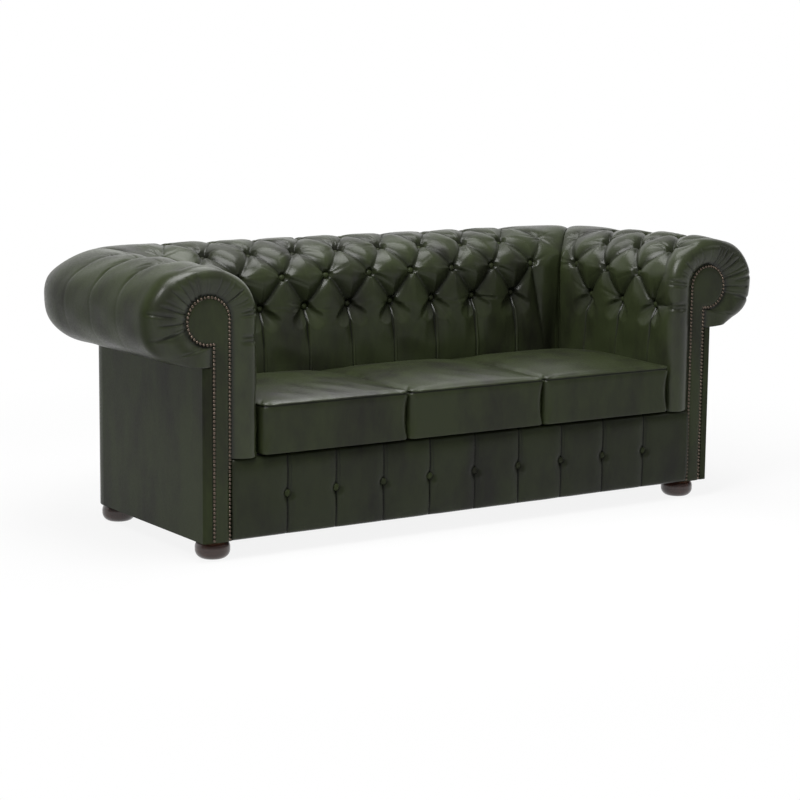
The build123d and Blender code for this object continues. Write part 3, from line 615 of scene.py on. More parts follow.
class SOFA_OT_back(bpy.types.Operator):
    """Back pad: the roll section carried from mitre to mitre, buttoned in four rows"""
    bl_idname = "sofa.back"
    bl_label = "Back pad"

    def execute(self, context):
        size = settings()[0]
        roll = Roll(3.8)
        pitch, half = size.back_pitch, 4 * size.back_pitch
        low_columns = [-half + (k + 0.5) * pitch for k in range(8)]
        high_columns = [-half + k * pitch for k in range(9)]
        folds, spots, seat = buttoning(roll, low_columns, high_columns, pitch)
        for end in (-1, 1):
            more, spot = corner_folds(seat, end * half, end * CORNER_STEP)
            folds += more
            folds.append(((end * half, *seat[2]), (end * (half + 40.0), 120.0, 2.0), 0.0, DIAMOND))
            spots.append(spot)
        x = fine_near(np.linspace(-size.arm_axis, size.arm_axis, 300), low_columns)
        corner = size.arm_axis + MITRE_TURN * CORNER_LONG
        u = np.concatenate([-corner, x, corner[::-1]])
        angle = np.concatenate([MITRE_TURN, np.zeros(len(x)), MITRE_TURN[::-1]])
        origin_x = np.clip(u, -size.arm_axis, size.arm_axis)
        origin_y = np.full(len(u), size.back_axis)
        stations = np.stack([origin_x, origin_y, np.sign(u) * np.sin(angle), np.cos(angle)], axis=1)
        drop = np.full(len(u), CROWN_DROP)
        relief = buttoned(roll, u, angle, folds, spots, low_columns, (11, 71, 5), 2.0, drop)
        near = smooth(1 - (size.arm_axis - np.abs(u)) / CREASE_REACH)
        low = -BACK_FORWARD + (CREASE_IN + BACK_FORWARD) * near
        keep = np.clip((CREASE_IN - roll.s) / CREASE_IN, 0, 1)
        deep = relief.deep + keep[None, :] * near[:, None] * CREASE_IN * 0.6
        hug = np.where(angle > 0, corner_hug(math.pi / 2 - angle), BACK_HUG)
        net = spread(stations, *carry(roll, deep, low, hug))
        rows, loop = net.shape[:2]
        # Painted shade of the folds and grooves, none on the hidden walls
        painted_shade = with_walls(painted_fold_shade(relief), loop)
        polish = np.tile(polish_over(roll, loop), rows)
        faces = loop_faces(rows, loop, flip=True)
        obj = skin_object("back_cover", net.reshape(-1, 3), faces, hide_material(), crease=painted_shade, polish=polish)
        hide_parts("back_pad")
        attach(obj, BODY)
        return {"FINISHED"}


POST_WIDE = 59.0
TURN_FROM = math.radians(-15.0)


def keyhole_target(roll):
    """Where each section point ends on the facing's outline: up the inner edge, round the scroll, down the post."""
    size = roll.size
    r = size.scroll_radius
    centre = WALL_IN + r
    a = np.arctan2(roll.z - size.scroll_height, roll.s - centre)
    a = np.where(a < -2.2, a + 2 * math.pi, a)
    stop = -math.acos((WALL_IN + POST_WIDE - centre) / r)
    round_long = r * (TURN_FROM - stop)
    post_long = size.scroll_height + r * math.sin(stop) - WALL_LOW
    run = np.clip((TURN_FROM - a) / (TURN_FROM - a[-1]), 0.0, 1.0) * (round_long + post_long)
    a = np.where(a < TURN_FROM, np.maximum(TURN_FROM - run / r, stop), a)
    rising = slice(roll.count // 3)
    on_ring = roll.v > np.interp(size.scroll_height, roll.z[rising], roll.v[rising])
    s = np.where(on_ring, centre + r * np.cos(a), WALL_IN)
    z = np.where(on_ring, size.scroll_height + r * np.sin(a), roll.z)
    return s, z - np.where(on_ring, np.maximum(run - round_long, 0.0), 0.0)


NOSE_TURN, NOSE_POWER, NOSE_BACK = 0.46, 2.2, 0.30
NOSE_PROUD, NOSE_ACROSS, WALL_BACK = 14.0, 95.0, 14.0
# Folds that run out to the nose: row, share of its depth, distance past the nose's start, row and height aimed at,
# depth there, slack
NOSE_FOLDS = (
    (1, 0.9, 44.0, 1, 6.0, 6.0, 0.10),
    (3, 1.0, 24.0, 3, 20.0, 5.0, 0.15),
    (3, 0.7, 12.0, 4, 34.0, 6.0, 0.15),
    (1, 0.8, 10.0, 2, 6.0, 4.0, 0.10),
    (3, 0.8, 10.0, 2, 14.0, 4.0, 0.10),
)
LONG_PLEATS = (306.0, 318.0, 379.0, 392.0, 831.0, 907.0)
GATHERS = 27


def nose_profile(count):
    """Rounded front of an arm: share drawn in c, and share of the nose depth reached.

    Up to c = NOSE_TURN it is a superellipse of power NOSE_POWER, then it falls back to the facing's edge.
    """
    c = np.linspace(0.0, 1.0, count + 1)[1:] ** 1.7
    rise = (1 - np.clip(1 - c / NOSE_TURN, 0, 1) ** NOSE_POWER) ** (1 / NOSE_POWER)
    return c, rise - NOSE_BACK * np.clip((c - NOSE_TURN) / (1 - NOSE_TURN), 0, 1) ** 2


def nose_ripple(roll, close):
    """Gathers of the nose: seeded Gaussian folds along the section, full on its front, and long pleats at its edge."""
    rng = np.random.default_rng(4)
    gather = np.zeros(roll.count)
    for where in np.linspace(0.40, 0.97, GATHERS) + rng.uniform(-0.012, 0.012, GATHERS):
        wide = rng.uniform(2.6, 5.0)
        gather += rng.uniform(0.0, 1.0) ** 1.5 * np.exp(-(((roll.v - where * roll.length) / wide) ** 2))
    long_pleat = np.zeros(roll.count)
    for where in LONG_PLEATS:
        long_pleat += np.exp(-(((roll.v - where) / 5.0) ** 2))
    face = smooth((close - 0.16) / 0.34) * (1 - 0.4 * smooth((close - 0.85) / 0.15))
    edge = smooth((close - 0.02) / 0.08) * (1 - smooth((close - 0.5) / 0.3))
    return 5.0 * gather[None, :] * face[:, None] + 4.5 * long_pleat[None, :] * edge[:, None]


class SOFA_OT_arms(bpy.types.Operator):
    """Arm pads: the roll section from the mitre to a gathered nose that closes on the facing's outline"""
    bl_idname = "sofa.arms"
    bl_label = "Arm pads"

    def execute(self, context):
        size = settings()[0]
        roll = Roll(3.6)
        n = roll.count
        first, pitch = size.arm_first, size.arm_pitch
        low_columns = [-(first - k * pitch) for k in range(3)]
        high_columns = [-(first + pitch / 2 - k * pitch) for k in range(3)]
        nose_start = -(size.front + size.nose - NOSE_PROUD)
        folds, spots, seat = buttoning(roll, low_columns, high_columns, pitch)
        for row, part, ahead, aim, above, depth, slack in NOSE_FOLDS:
            begin = (low_columns[-1], seat[row][0], seat[row][1] * part)
            folds.append((begin, (nose_start + ahead, seat[aim][0] + above, depth), slack, DIAMOND))
        more, spot = corner_folds(seat, high_columns[0], -CORNER_STEP)
        folds += more
        spots.append(spot)
        straight = fine_near(np.linspace(-size.back_axis, nose_start, 110), low_columns)
        drawn, reached = nose_profile(44)
        step_in, step_out = np.diff(drawn, prepend=0.0) * NOSE_ACROSS, np.diff(reached, prepend=0.0) * size.nose
        step = np.hypot(step_in, step_out)
        before = np.zeros(len(MITRE_TURN) + len(straight))
        close = np.concatenate([before, drawn])
        angle = np.concatenate([MITRE_TURN, np.zeros(len(straight) + len(drawn))])
        facing_front = np.concatenate([before, np.abs(step_in) / step])[:, None]
        u = np.concatenate([-size.back_axis - MITRE_TURN * CORNER_LONG, straight, nose_start + np.cumsum(step)])
        corner = np.full(len(MITRE_TURN), size.back_axis)
        origin_y = np.concatenate([corner, -straight, -(nose_start + size.nose * reached)])
        stations = np.stack([np.full(len(u), size.arm_axis), origin_y, np.cos(angle), np.sin(angle)], axis=1)
        drop = CROWN_DROP * (1 - smooth((u + size.back_axis) / 260.0))
        relief = buttoned(roll, u, angle, folds, spots, low_columns, (23, 72, 8), 2.2, drop)
        near = smooth(1 - (u + size.back_axis) / CREASE_REACH)
        low = 0.5 + (CREASE_IN - 0.5) * near
        ripple = nose_ripple(roll, close)
        flat = (1 - smooth(close / 0.55))[:, None]
        deep = relief.deep * flat + ripple * (1 - facing_front)
        s, z = carry(roll, deep, low, np.where(angle > 0, corner_hug(angle), ARM_HUG))
        goal_s, goal_z = keyhole_target(roll)
        s[:, :n] += (goal_s[None, :] - s[:, :n]) * close[:, None]
        z[:, :n] += (goal_z[None, :] - z[:, :n]) * close[:, None]
        net = spread(stations, s, z)
        net[:, :n, 1] += ripple * facing_front
        net[:, n:, 1] = np.maximum(net[:, n:, 1], size.front + WALL_BACK)
        rows, loop = net.shape[:2]
        # Painted shade of the folds, deepening in the groove where the nose closes on the facing
        painted_shade = painted_fold_shade(relief, flat, ripple) + smooth((close[:, None] - 0.88) / 0.12) * 0.8
        painted_shade = with_walls(np.clip(painted_shade, 0, 1), loop)
        polish = np.maximum(polish_over(roll, loop)[None, :], 0.5 * smooth(close / 0.2)[:, None])
        for name, sign in SIDES:
            placed = net.reshape(-1, 3) * np.array([sign, 1.0, 1.0])
            faces = loop_faces(rows, loop, flip=sign > 0)
            obj = skin_object("arm_cover_" + name, placed, faces, hide_material(), crease=painted_shade, polish=polish)
            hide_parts("arm_pad_" + name)
            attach(obj, BODY)
        return {"FINISHED"}


BORDER_PITCH, BORDER_BUTTONS, BORDER_THICK = 152.0, 9, 18.0
# Painted shade: the whole border is darkened by this much, for the shade on a low strip facing forward under light from
# above
BORDER_PAINTED_SHADE, PLAIN_POLISH = 0.38, 0.2


class SOFA_OT_border(bpy.types.Operator):
    """Front border: nine buttons, each with a pleat above and below"""
    bl_idname = "sofa.border"
    bl_label = "Front border"

    def execute(self, context):
        low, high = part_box("front_border")
        x0, _, z0 = (value / MM for value in low)
        x1, back, z1 = (value / MM for value in high)
        columns = (np.arange(BORDER_BUTTONS) - BORDER_BUTTONS // 2) * BORDER_PITCH
        mid = (z0 + z1) / 2 + 2.0
        fine = (columns[:, None] + np.linspace(-22.0, 26.0, 41)[None, :]).ravel()
        x = np.unique(np.round(np.concatenate([np.linspace(x0, x1, 220), fine]), 2))
        grid_x, grid_z = np.meshgrid(x, np.linspace(z0, z1, 64), indexing="ij")
        rows, cols = grid_x.shape
        nearest = columns[np.argmin(np.abs(grid_x[..., None] - columns), axis=-1)]
        # Pleats: a sharp line by each button, a twin beside it above the button, and a soft fall to both sides
        over = grid_z - mid
        off = grid_x - nearest + 2.5 * np.exp(-np.abs(over) / 30.0) * (over < 0)
        line = np.exp(-((np.abs(off) / 2.4) ** 1.4))
        twin = np.exp(-((np.abs(off - 8.0) / 2.2) ** 1.4)) * smooth((over - 8.0) / 12.0) * 0.45
        fall = 4.2 * line + 2.0 * twin + 3.4 * np.exp(-((off / 20.0) ** 2)) + 1.6 * np.exp(-np.abs(off) / 6.0)
        # Stuffing: full in the middle, rounded at both edges, with a dimple at each button and a puff below it
        edge = (grid_z - z0) / (z1 - z0)
        pillow = np.clip(1 - (2 * edge - 1) ** 6, 0, 1)
        spot = np.hypot(grid_x - nearest, over)
        dimple = 6.5 * np.exp(-((spot / 15.0) ** 2))
        puff = 3.2 * np.exp(-(((off - 13.0) / 8.0) ** 2 + ((over + 17.0) / 13.0) ** 2))
        depth = fall * (0.35 + 0.65 * pillow) + dimple - puff
        reach = 9.5 * pillow + slow_waves(grid_x, grid_z, 3, 1.2)
        roundness = np.clip(1 - np.minimum(edge, 1 - edge) / 0.03, 0, 1) ** 2
        y = back - BORDER_THICK + 3.0 - reach + depth + roundness * 5.0
        front = np.stack([grid_x, y, grid_z], axis=-1)
        wall = np.stack([np.stack([x, np.full(rows, back), np.full(rows, z)], axis=-1) for z in (z1, z0)], axis=1)
        net = np.concatenate([front, wall], axis=1)
        # Painted shade: over the whole border, along the pleat lines, round each button and on the rounded top and
        # bottom edges
        painted_shade = BORDER_PAINTED_SHADE + line * 0.9 + twin * 0.8 + np.exp(-((spot / 13.0) ** 2)) * 0.7 + roundness * 0.4
        painted_shade = with_walls(np.clip(painted_shade, 0, 1), cols + 2)
        faces = loop_faces(rows, cols + 2, flip=True)
        obj = skin_object("border_cover", net.reshape(-1, 3), faces, hide_material(), crease=painted_shade,
                          polish=np.full(painted_shade.size, PLAIN_POLISH))
        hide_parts("front_border")
        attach(obj, BODY)
        return {"FINISHED"}


class SOFA_OT_facings(bpy.types.Operator):
    """Scroll facings: a round head on a straight post, lightly stuffed"""
    bl_idname = "sofa.facings"
    bl_label = "Scroll facings"

    def execute(self, context):
        size = settings()[0]
        low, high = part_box("scroll_facing_right")
        r, tall = size.scroll_radius, size.scroll_height
        inner, foot = low.x / MM, low.z / MM
        centre, outer = inner + r, inner + POST_WIDE
        waist = tall - math.sqrt(r * r - (outer - centre) ** 2)
        head = tall - r * np.cos(np.linspace(math.acos((tall - waist) / r), math.pi - 0.03, 64))
        z = np.concatenate([foot + (waist - foot) * np.linspace(0, 1, 110) ** 0.9, head[1:]])
        round_x = np.sqrt(np.maximum(r * r - (z - tall) ** 2, 0.0))
        left = np.where(z > tall, centre - round_x, inner)
        right = np.where(z > waist, centre + np.where(z > waist + 0.01, round_x, outer - centre), outer)
        share = 0.5 - 0.5 * np.cos(np.linspace(0, math.pi, 25))
        x = left[:, None] + (right - left)[:, None] * share[None, :]
        grid_z = np.broadcast_to(z[:, None], x.shape)
        # Distance of every point from the outline: inner edge, ring and outer edge
        ring = np.linspace(math.pi, -math.acos((outer - centre) / r), 160)
        line = np.linspace(0, 1, 200)
        edge_x = np.concatenate([np.full(200, inner), centre + r * np.cos(ring), np.full(200, outer)])
        edge_z = np.concatenate([foot + (tall - foot) * line, tall + r * np.sin(ring), foot + (waist - foot) * line])
        gap = np.min(np.hypot(x[..., None] - edge_x, grid_z[..., None] - edge_z), axis=-1)
        rise = 5.0 * (1 - (1 - np.clip(gap / 26.0, 0, 1)) ** 2.5) - 2.6 * np.exp(-((gap - 6.5) / 3.5) ** 2)
        y = low.y / MM + 2.4 - rise + 1.2 * np.exp(-gap / 1.5)
        points, net = slab(np.stack([x, y, grid_z], axis=-1), high.y / MM)
        # Painted shade along the groove at the outline, and on the hidden back
        painted_shade = np.concatenate([(0.65 * np.exp(-gap / 3.0)).ravel(), np.full(gap.size, 0.8)])
        for name, sign in SIDES:
            placed = points * np.array([sign, 1.0, 1.0])
            faces = (net if sign > 0 else net[:, ::-1]).tolist()
            obj = skin_object("facing_cover_" + name, placed, faces, hide_material(), crease=painted_shade,
                              polish=np.full(painted_shade.size, PLAIN_POLISH))
            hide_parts("scroll_facing_" + name)
            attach(obj, BODY)
        return {"FINISHED"}


class SOFA_OT_cushions(bpy.types.Operator):
    """Seat cushions: boxed covers swelled by cloth pressure over their foam"""
    bl_idname = "sofa.cushions"
    bl_label = "Seat cushions"

    def execute(self, context):
        size = settings()[0]
        for seed, place in enumerate(("left", "middle", "right")):
            low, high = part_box("cushion_cover_" + place)
            obj = make_cushion("cushion_" + place, low / MM, high / MM, size.crown, seed)
            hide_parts("cushion_cover_" + place, "cushion_core_" + place)
            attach(obj, "cushion_" + place)
        return {"FINISHED"}


def rounded_outline(wide, deep, corner, count):
    """Closed outline of a rounded rectangle about the origin, as count points evenly spaced along it."""
    a, b = wide / 2 - corner, deep / 2 - corner
    quarter = np.linspace(0, math.pi / 2, 40)
    pieces = []
    for k, (cx, cy) in enumerate(((a, b), (-a, b), (-a, -b), (a, -b))):
        t = quarter + k * math.pi / 2
        pieces.append(np.stack([cx + corner * np.cos(t), cy + corner * np.sin(t)], axis=1))
    ring = np.concatenate(pieces + [pieces[0][:1]])
    run = np.concatenate([[0], np.cumsum(np.hypot(*np.diff(ring, axis=0).T))])
    at = np.linspace(0, run[-1], count, endpoint=False)
    return np.stack([np.interp(at, run, ring[:, 0]), np.interp(at, run, ring[:, 1])], axis=1)


SEAM_Z = 402.0
RING = 240
INSET_STEPS = (0.0, 12.0, 50.0, 100.0, 160.0, 230.0)
CORNER_STEPS = (14.0, 19.0, 36.0, 52.0, 66.0, 80.0)
LIP_INSETS = (0.0, 0.6, 1.5, 3.0, 5.0)
LIP_RISES = (3.2, 4.2, 5.0, 5.5, 5.6)
BASE_INSETS = (222.0, 180.0, 130.0, 80.0, 40.0, 16.0, 6.0, 2.5)
TOP_INSETS = (0.0, 0.6, 1.5, 3.0, 5.0, 8.0, 12.0, 17.0, 22.0, 30.0, 40.0, 52.0, 66.0, 82.0, 100.0, 120.0, 142.0, 164.0,
              186.0, 206.0, 222.0)
REAR_FALL, FALL_FROM = 13.0, 358.0
ZIP_Z, ZIP_HALF, ZIP_TALL, ZIP_FLOOR, ZIP_REAR = 338.0, 192.0, 11.6, 75.2, 60.0
# Parts of a cushion, as tags, with the painted shade of each (a little on the boxing's sides, most in the seam's
# groove) and its polish
SIDE, SEAM_EDGE, SEAM_GROOVE, TOP = range(4)
PART_PAINTED_SHADE = np.array([0.12, 0.55, 0.95, 0.0])
PART_POLISH = np.array([0.22, 0.22, 0.22, 0.45])


def cushion_levels(z0):
    """Rings of a boxed cushion, as height, inset and part, from the middle of the base to the middle of the top."""
    levels = [(z0, inset, SIDE) for inset in BASE_INSETS]
    levels += [(z0 + 2.0, 0.8, SIDE), (z0 + 5.0, 0.0, SIDE)]
    lips = ZIP_Z + np.array([-1.0, -1.07, 1.0, 1.07]) * ZIP_TALL
    for z in np.unique(np.concatenate([np.linspace(z0 + 5.0, SEAM_Z - 9.0, 19)[1:-1], lips])):
        levels.append((z, 1.6 * math.sin(math.pi * (z - z0 - 5.0) / (SEAM_Z - 14.0 - z0)), SIDE))
    levels += [(SEAM_Z - 6.0, 0.0, SIDE), (SEAM_Z - 4.2, 0.3, SIDE), (SEAM_Z - 2.0, 1.6, SEAM_EDGE),
               (SEAM_Z, 5.2, SEAM_GROOVE), (SEAM_Z + 1.9, 1.0, TOP)]
    return levels + [(SEAM_Z + np.interp(inset, LIP_INSETS, LIP_RISES), inset, TOP) for inset in TOP_INSETS]


def make_cushion(name, low, high, crown, seed):
    """One cushion: rings up the boxing and in over the crown, swelled by a short cloth run, then its seams.

    Over the top, the crown rises by crown (1 - p^3.4) (1 - q^2.2), p and q the shares of the half width and half depth.
    Behind the middle, the top and the upper boxing fall away by REAR_FALL q^1.5.
    """
    wide, deep = high.x - low.x, high.y - low.y
    middle = np.array([(low.x + high.x) / 2, (low.y + high.y) / 2])
    levels = cushion_levels(low.z)
    rings = []
    for z, inset, part in levels:
        w, d = wide - 2 * inset, deep - 2 * inset
        corner = min(np.interp(inset, INSET_STEPS, CORNER_STEPS), min(w, d) / 2 * 0.98)
        ring = rounded_outline(w, d, corner, RING)
        p = np.abs(ring[:, 0]) / (wide / 2)
        q = np.abs(ring[:, 1]) / (deep / 2)
        rear = np.clip(ring[:, 1] / (deep / 2), 0, 1) ** 1.5
        height = z - REAR_FALL * rear * np.clip((z - FALL_FROM) / (SEAM_Z - FALL_FROM), 0, 1)
        if part == TOP:
            height = height + crown * (1 - p ** 3.4) * (1 - q ** 2.2)
        rings.append(np.column_stack([ring + middle, height]))
    points = np.concatenate(rings)
    obj = skin_object(name, points, loop_faces(len(levels), RING), hide_material())
    swell(obj, points, low, high, np.repeat([inset if part == TOP else 0.0 for _, inset, part in levels], RING))
    finish_seams(obj, levels, seed)
    return obj


HELD, HALF_HELD = 1.0, 0.6
SWELL_FRAMES, SWELL_MOST = 20, 3.0


def swell(obj, start, low, high, inset):
    """Blows the cover up with the cloth solver for a few frames, and keeps at most SWELL_MOST of it.

    The middle of the top, where the rings close up, moves as one.
    """
    scene = bpy.context.scene
    pin = obj.vertex_groups.new(name="held")
    at_seam = np.where(np.abs(start[:, 2] - SEAM_Z) < 3.0, HALF_HELD, 0.0)
    hold = np.where(start[:, 2] < low.z + 4.0, HELD, at_seam)
    for weight in (HALF_HELD, HELD):
        pin.add(np.nonzero(hold == weight)[0].tolist(), weight, "REPLACE")
    cloth = obj.modifiers.new("swell", "CLOTH")
    cloth.settings.use_pressure = True
    cloth.settings.uniform_pressure_force = 4.0
    cloth.settings.vertex_group_mass = "held"
    cloth.settings.quality = 3
    cloth.settings.tension_stiffness = 40.0
    cloth.settings.compression_stiffness = 40.0
    cloth.settings.bending_stiffness = 2.0
    cloth.settings.effector_weights.gravity = 0.0
    for number in range(1, SWELL_FRAMES + 1):
        scene.frame_set(number)
    done = obj.evaluated_get(bpy.context.evaluated_depsgraph_get())
    co = np.zeros(len(done.data.vertices) * 3)
    done.data.vertices.foreach_get("co", co)
    moved = co.reshape(-1, 3) / MM - start
    far = np.linalg.norm(moved, axis=1, keepdims=True)
    moved = moved * np.minimum(1.0, SWELL_MOST / np.maximum(far, 1e-6))
    middle = smooth((inset - 100.0) / 50.0)[:, None]
    level = moved[(inset > 90.0) & (inset < 125.0)].mean(axis=0) * np.array([0.0, 0.0, 1.0])
    kept = start + moved * (1 - middle) + level * middle
    kept[:, 2] = np.maximum(kept[:, 2], low.z)
    kept[:, 0] = np.clip(kept[:, 0], low.x, high.x)
    kept[:, 1] = np.clip(kept[:, 1], low.y, high.y)
    obj.modifiers.remove(cloth)
    obj.vertex_groups.remove(pin)
    scene.frame_set(1)
    obj.data.vertices.foreach_set("co", (kept * MM).ravel())
    obj.data.update()


def finish_seams(obj, levels, seed):
    """Lapped seam round the top edge, with painted shade in its groove, and small puckers that run out over the crown.

    A pucker is a seeded Gaussian round the ring that fades with exp(-inset / 14). The zip lies in a flat recess.
    """
    rows = len(levels)
    co = np.zeros(rows * RING * 3)
    obj.data.vertices.foreach_get("co", co)
    points = (co / MM).reshape(rows, RING, 3)
    rng = np.random.default_rng(40 + seed)
    pucker = np.zeros(RING)
    for _ in range(34):
        off = (np.arange(RING) - rng.uniform(0, RING) + RING / 2) % RING - RING / 2
        pucker += rng.uniform(0.2, 1.0) * np.exp(-((off / rng.uniform(1.2, 3.0)) ** 2))
    high, inset, part = (np.array(column)[:, None] for column in zip(*levels))
    points[..., 2] -= (part == TOP) * pucker[None, :] * 0.8 * np.exp(-inset / 14.0)
    wave = slow_waves(points[..., 0], points[..., 1], 60 + seed, 0.9)
    points[..., 2] += (part == TOP) * wave * smooth(inset / 60.0)
    across = np.abs(points[..., 0] - points[..., 0].mean())
    in_zip = (np.abs(high - ZIP_Z) <= ZIP_TALL + 0.01) & (across < ZIP_HALF)
    in_zip &= (part == SIDE) & (points[..., 1] > ZIP_REAR)
    points[..., 1] = np.where(in_zip, ZIP_FLOOR, points[..., 1])
    obj.data.vertices.foreach_set("co", points.ravel() * MM)
    shape = (rows, RING)
    # Painted shade by part: a little on the boxing's sides, deep in the seam's groove
    mark(obj.data, crease=np.broadcast_to(PART_PAINTED_SHADE[part], shape), polish=np.broadcast_to(PART_POLISH[part], shape))
    obj.data.update()


SPRING_GAP, HEM_IN = 150.0, 26.0


class SOFA_OT_platform(bpy.types.Operator):
    """Seat platform: a stretched cloth that dips between the springs, hemmed along its edges"""
    bl_idname = "sofa.platform"
    bl_label = "Seat platform"

    def execute(self, context):
        low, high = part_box("seat_platform")
        x0, y0, z0 = (value / MM for value in low)
        x1, y1, z1 = (value / MM for value in high)
        x, y = np.meshgrid(np.linspace(x0, x1, 180), np.linspace(y0, y1, 70), indexing="ij")
        inside = np.minimum(np.minimum(x - x0, x1 - x), np.minimum(y - y0, y1 - y))
        hem = np.exp(-(((inside - HEM_IN) / 3.0) ** 2))
        dip = (0.8 - 0.8 * np.cos(2 * math.pi * x / SPRING_GAP)) * smooth(inside / 60.0)
        z = z1 - 0.4 - dip - 1.0 * hem - 1.6 * np.clip(1 - inside / 5.0, 0, 1) ** 2 + slow_waves(x, y, 31, 0.4)
        points, net = slab(np.stack([x, y, z], axis=-1)[:, ::-1], z0, axis=2)
        # Painted shade along the hem's groove; the weave finish does not read the crease attribute
        painted_shade = np.concatenate([hem[:, ::-1].ravel(), np.zeros(hem.size)])
        obj = skin_object("platform_cloth", points, net.tolist(), lining_material(), crease=painted_shade)
        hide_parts("seat_platform")
        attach(obj, BODY)
        return {"FINISHED"}


def paint(node, material):
    """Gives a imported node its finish."""
    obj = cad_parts[node]
    obj.data.materials.clear()
    obj.data.materials.append(material)


class SOFA_OT_fittings(bpy.types.Operator):
    """Finishes of the nodes that stay as they are: panels, buttons, nails, feet and the hidden frame"""
    bl_idname = "sofa.fittings"
    bl_label = "Panels, nails, feet and frame"

    def execute(self, context):
        finish = settings()[1]
        hide, grain, tarnish = hide_material(), grain_group(), tarnish_group()
        foot = dressed("turned_foot", grain, {
            "Light": rgba(finish.foot, 1.6), "Dark": rgba(finish.foot, 0.5),
            "Stretch": (60.0, 60.0, 9.0), "Gloss": 0.22,
        }, bump=0.05, Coat_Weight=0.35, Coat_Roughness=0.06)
        timber = dressed("beech_timber", grain, {
            "Light": (0.55, 0.38, 0.22, 1), "Dark": (0.36, 0.23, 0.12, 1),
            "Stretch": (5.0, 60.0, 60.0), "Gloss": 0.5,
        }, bump=0.1)
        nail = dressed("aged_bronze", tarnish, {
            "Bright": rgba(finish.nail), "Dull": rgba(finish.nail, 0.35), "Size": 90.0, "Gloss": 0.18,
        }, Metallic=1.0)
        steel = dressed("spring_wire", tarnish, {
            "Bright": (0.5, 0.5, 0.52, 1), "Dull": (0.3, 0.3, 0.3, 1), "Size": 200.0, "Gloss": 0.28,
        }, Metallic=1.0)
        brass = dressed("zip_brass", tarnish, {
            "Bright": (0.5, 0.38, 0.2, 1), "Dull": (0.3, 0.2, 0.1, 1), "Size": 300.0, "Gloss": 0.3,
        }, Metallic=1.0)
        foam = dressed("seat_foam", tarnish, {
            "Bright": (0.85, 0.8, 0.6, 1), "Dull": (0.7, 0.64, 0.45, 1), "Size": 500.0, "Gloss": 0.75,
        })
        # The first line with a word of the node's name gives its finish, and the rest are timber
        finishes = (
            (hide, ("buttons", "panel", "pad", "border")),
            (foot, ("foot_front", "foot_back")),
            (nail, ("nails",)),
            (steel, ("spring", "bolts", "nuts")),
            (brass, ("slider",)),
            (foam, ("core",)),
            (lining_material(), ("platform", "dust", "zip")),
            (hide, ("cushion", "facing")),
        )
        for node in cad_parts:
            fits = (material for material, words in finishes if any(word in node for word in words))
            paint(node, next(fits, timber))
        return {"FINISHED"}


# Stage: floor sizes, lamps as name, place, aim, size and power, and the camera's focal length in pixels and turns
FLOOR_WIDE, FLOOR_BEHIND, FLOOR_TALL = 30.0, 9.0, 14.0
LAMPS = (
    ("key", (-2.9, -1.9, 3.4), (0.0, 0.0, 0.4), 1.0, 52.0),
    ("over", (-0.8, -0.75, 2.5), (0.4, 0.0, 0.4), 1.2, 52.0),
    ("top", (0.5, 0.5, 3.0), (0.0, 0.0, 0.4), 1.6, 45.0),
    ("side", (3.4, -2.6, 2.4), (0.2, 0.0, 0.4), 1.2, 5.0),
)
SENSOR, FOCAL_PIXELS, PICTURE_PIXELS = 36.0, 2233.3, 800.0
CAMERA_AT, CAMERA_TURN, CAMERA_DOWN, CAMERA_LEAN = (-3.5895, -5.3865, 1.3501), -33.886, 9.181, 0.6


def floor_material():
    """Pale matt floor that glows white, a little less under the sofa, for rays that show the backdrop.

    Those rays go straight to the camera, are mirrored or pass through glass.
    """
    mat = bpy.data.materials.new("pale_floor")
    mat.use_nodes = True
    tree = mat.node_tree
    tree.nodes.remove(tree.nodes["Principled BSDF"])
    matt = add(tree, "BsdfDiffuse", {"Color": (0.86, 0.86, 0.86, 1)})
    glow = add(tree, "Emission", {"Color": (1, 1, 1, 1)})
    place = add(tree, "TexCoord")
    away = add(tree, "VectorMath", operation="LENGTH")
    fade = add(tree, "MapRange", {"From Min": 1.0, "From Max": 2.6, "To Min": 0.88, "To Max": 1.0},
               interpolation_type="SMOOTHSTEP")
    path = add(tree, "LightPath")
    direct = add(tree, "Math", operation="MAXIMUM")
    shown = add(tree, "Math", operation="MAXIMUM")
    seen = add(tree, "Math", operation="MULTIPLY")
    mix = add(tree, "MixShader")
    wire(
        tree,
        (path, "Is Camera Ray", direct, 0), (path, "Is Glossy Ray", direct, 1),
        (direct, "Value", shown, 0), (path, "Is Transmission Ray", shown, 1),
        (place, "Object", away, 0), (away, "Value", fade, "Value"),
        (shown, "Value", seen, 0), (fade, "Result", seen, 1), (seen, "Value", mix, "Fac"),
        (matt, "BSDF", mix, 1), (glow, "Emission", mix, 2),
        (mix, "Shader", tree.nodes["Material Output"], "Surface"))
    return mat


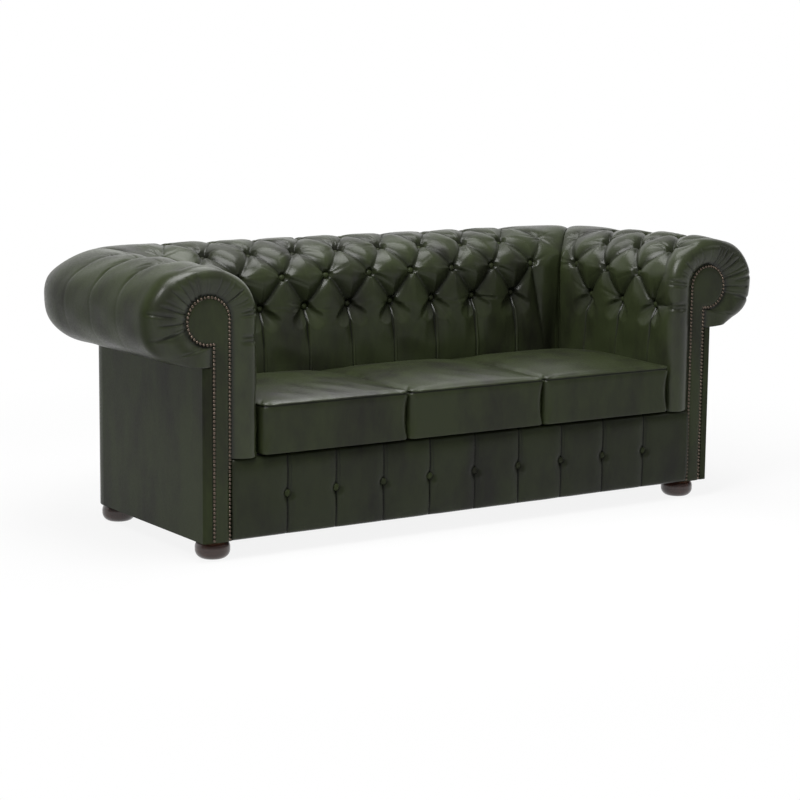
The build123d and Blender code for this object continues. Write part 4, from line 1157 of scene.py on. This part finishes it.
class SOFA_OT_stage(bpy.types.Operator):
    """Pale floor, soft studio light and the camera"""
    bl_idname = "sofa.stage"
    bl_label = "Stage, light and camera"

    def execute(self, context):
        scene = bpy.context.scene
        scene.view_settings.view_transform = "Standard"
        floor = bpy.data.meshes.new("studio_floor")
        wide, behind, tall = FLOOR_WIDE, FLOOR_BEHIND, FLOOR_TALL
        floor.from_pydata(
            [(-wide, -wide, 0), (wide, -wide, 0), (wide, behind, 0), (-wide, behind, 0),
             (wide, behind, tall), (-wide, behind, tall)],
            [], [(0, 1, 2, 3), (3, 2, 4, 5)])
        ground = bpy.data.objects.new("studio_floor", floor)
        scene.collection.objects.link(ground)
        floor.materials.append(floor_material())
        world = bpy.data.worlds.new("studio")
        scene.world = world
        world.use_nodes = True
        sky = world.node_tree.nodes["Background"]
        sky.inputs["Color"].default_value = (1, 1, 1, 1)
        sky.inputs["Strength"].default_value = 0.30
        for name, place, aim, across, power in LAMPS:
            light = bpy.data.lights.new(name, "AREA")
            light.shape = "SQUARE"
            light.size = across
            light.energy = power
            lamp = bpy.data.objects.new(name, light)
            scene.collection.objects.link(lamp)
            lamp.location = place
            lamp.rotation_euler = (Vector(aim) - Vector(place)).to_track_quat("-Z", "Y").to_euler()
        cam = bpy.data.cameras.new("studio_camera")
        cam.sensor_width = SENSOR
        cam.lens = FOCAL_PIXELS / PICTURE_PIXELS * SENSOR
        cam.clip_end = 60.0
        view = bpy.data.objects.new("studio_camera", cam)
        scene.collection.objects.link(view)
        turn = Matrix.Rotation(math.radians(CAMERA_TURN), 4, "Z")
        turn = turn @ Matrix.Rotation(math.radians(90 - CAMERA_DOWN), 4, "X")
        turn = turn @ Matrix.Rotation(math.radians(CAMERA_LEAN), 4, "Z")
        view.matrix_world = Matrix.Translation(CAMERA_AT) @ turn
        scene.camera = view
        return {"FINISHED"}


class SOFA_PT_panel(bpy.types.Panel):
    """Sizes, finishes and the steps that make the sofa"""
    bl_idname = "SOFA_PT_panel"
    bl_label = "Sofa"
    bl_space_type = "VIEW_3D"
    bl_region_type = "UI"
    bl_category = "Sofa"

    def draw(self, context):
        for group in (context.scene.sofa_sizes, context.scene.sofa_finish):
            for name in group.__annotations__:
                self.layout.prop(group, name)
        for step in STEPS:
            self.layout.operator(step.bl_idname)


STEPS = (SOFA_OT_stage, SOFA_OT_fittings, SOFA_OT_back, SOFA_OT_arms, SOFA_OT_border, SOFA_OT_facings,
         SOFA_OT_platform, SOFA_OT_cushions)
CLASSES = (SofaSizes, SofaFinish) + STEPS + (SOFA_PT_panel,)


def register():
    """Registers the classes and hangs the settings on the scene."""
    for cls in CLASSES:
        bpy.utils.register_class(cls)
    bpy.types.Scene.sofa_sizes = bpy.props.PointerProperty(type=SofaSizes)
    bpy.types.Scene.sofa_finish = bpy.props.PointerProperty(type=SofaFinish)


def unregister():
    """Takes the settings and classes away again."""
    del bpy.types.Scene.sofa_finish
    del bpy.types.Scene.sofa_sizes
    for cls in reversed(CLASSES):
        bpy.utils.unregister_class(cls)


def main():
    """Makes every piece in order."""
    register()
    bpy.ops.sofa.stage()
    bpy.ops.sofa.fittings()
    bpy.ops.sofa.back()
    bpy.ops.sofa.arms()
    bpy.ops.sofa.border()
    bpy.ops.sofa.facings()
    bpy.ops.sofa.platform()
    bpy.ops.sofa.cushions()


if __name__ == "__main__":
    main()
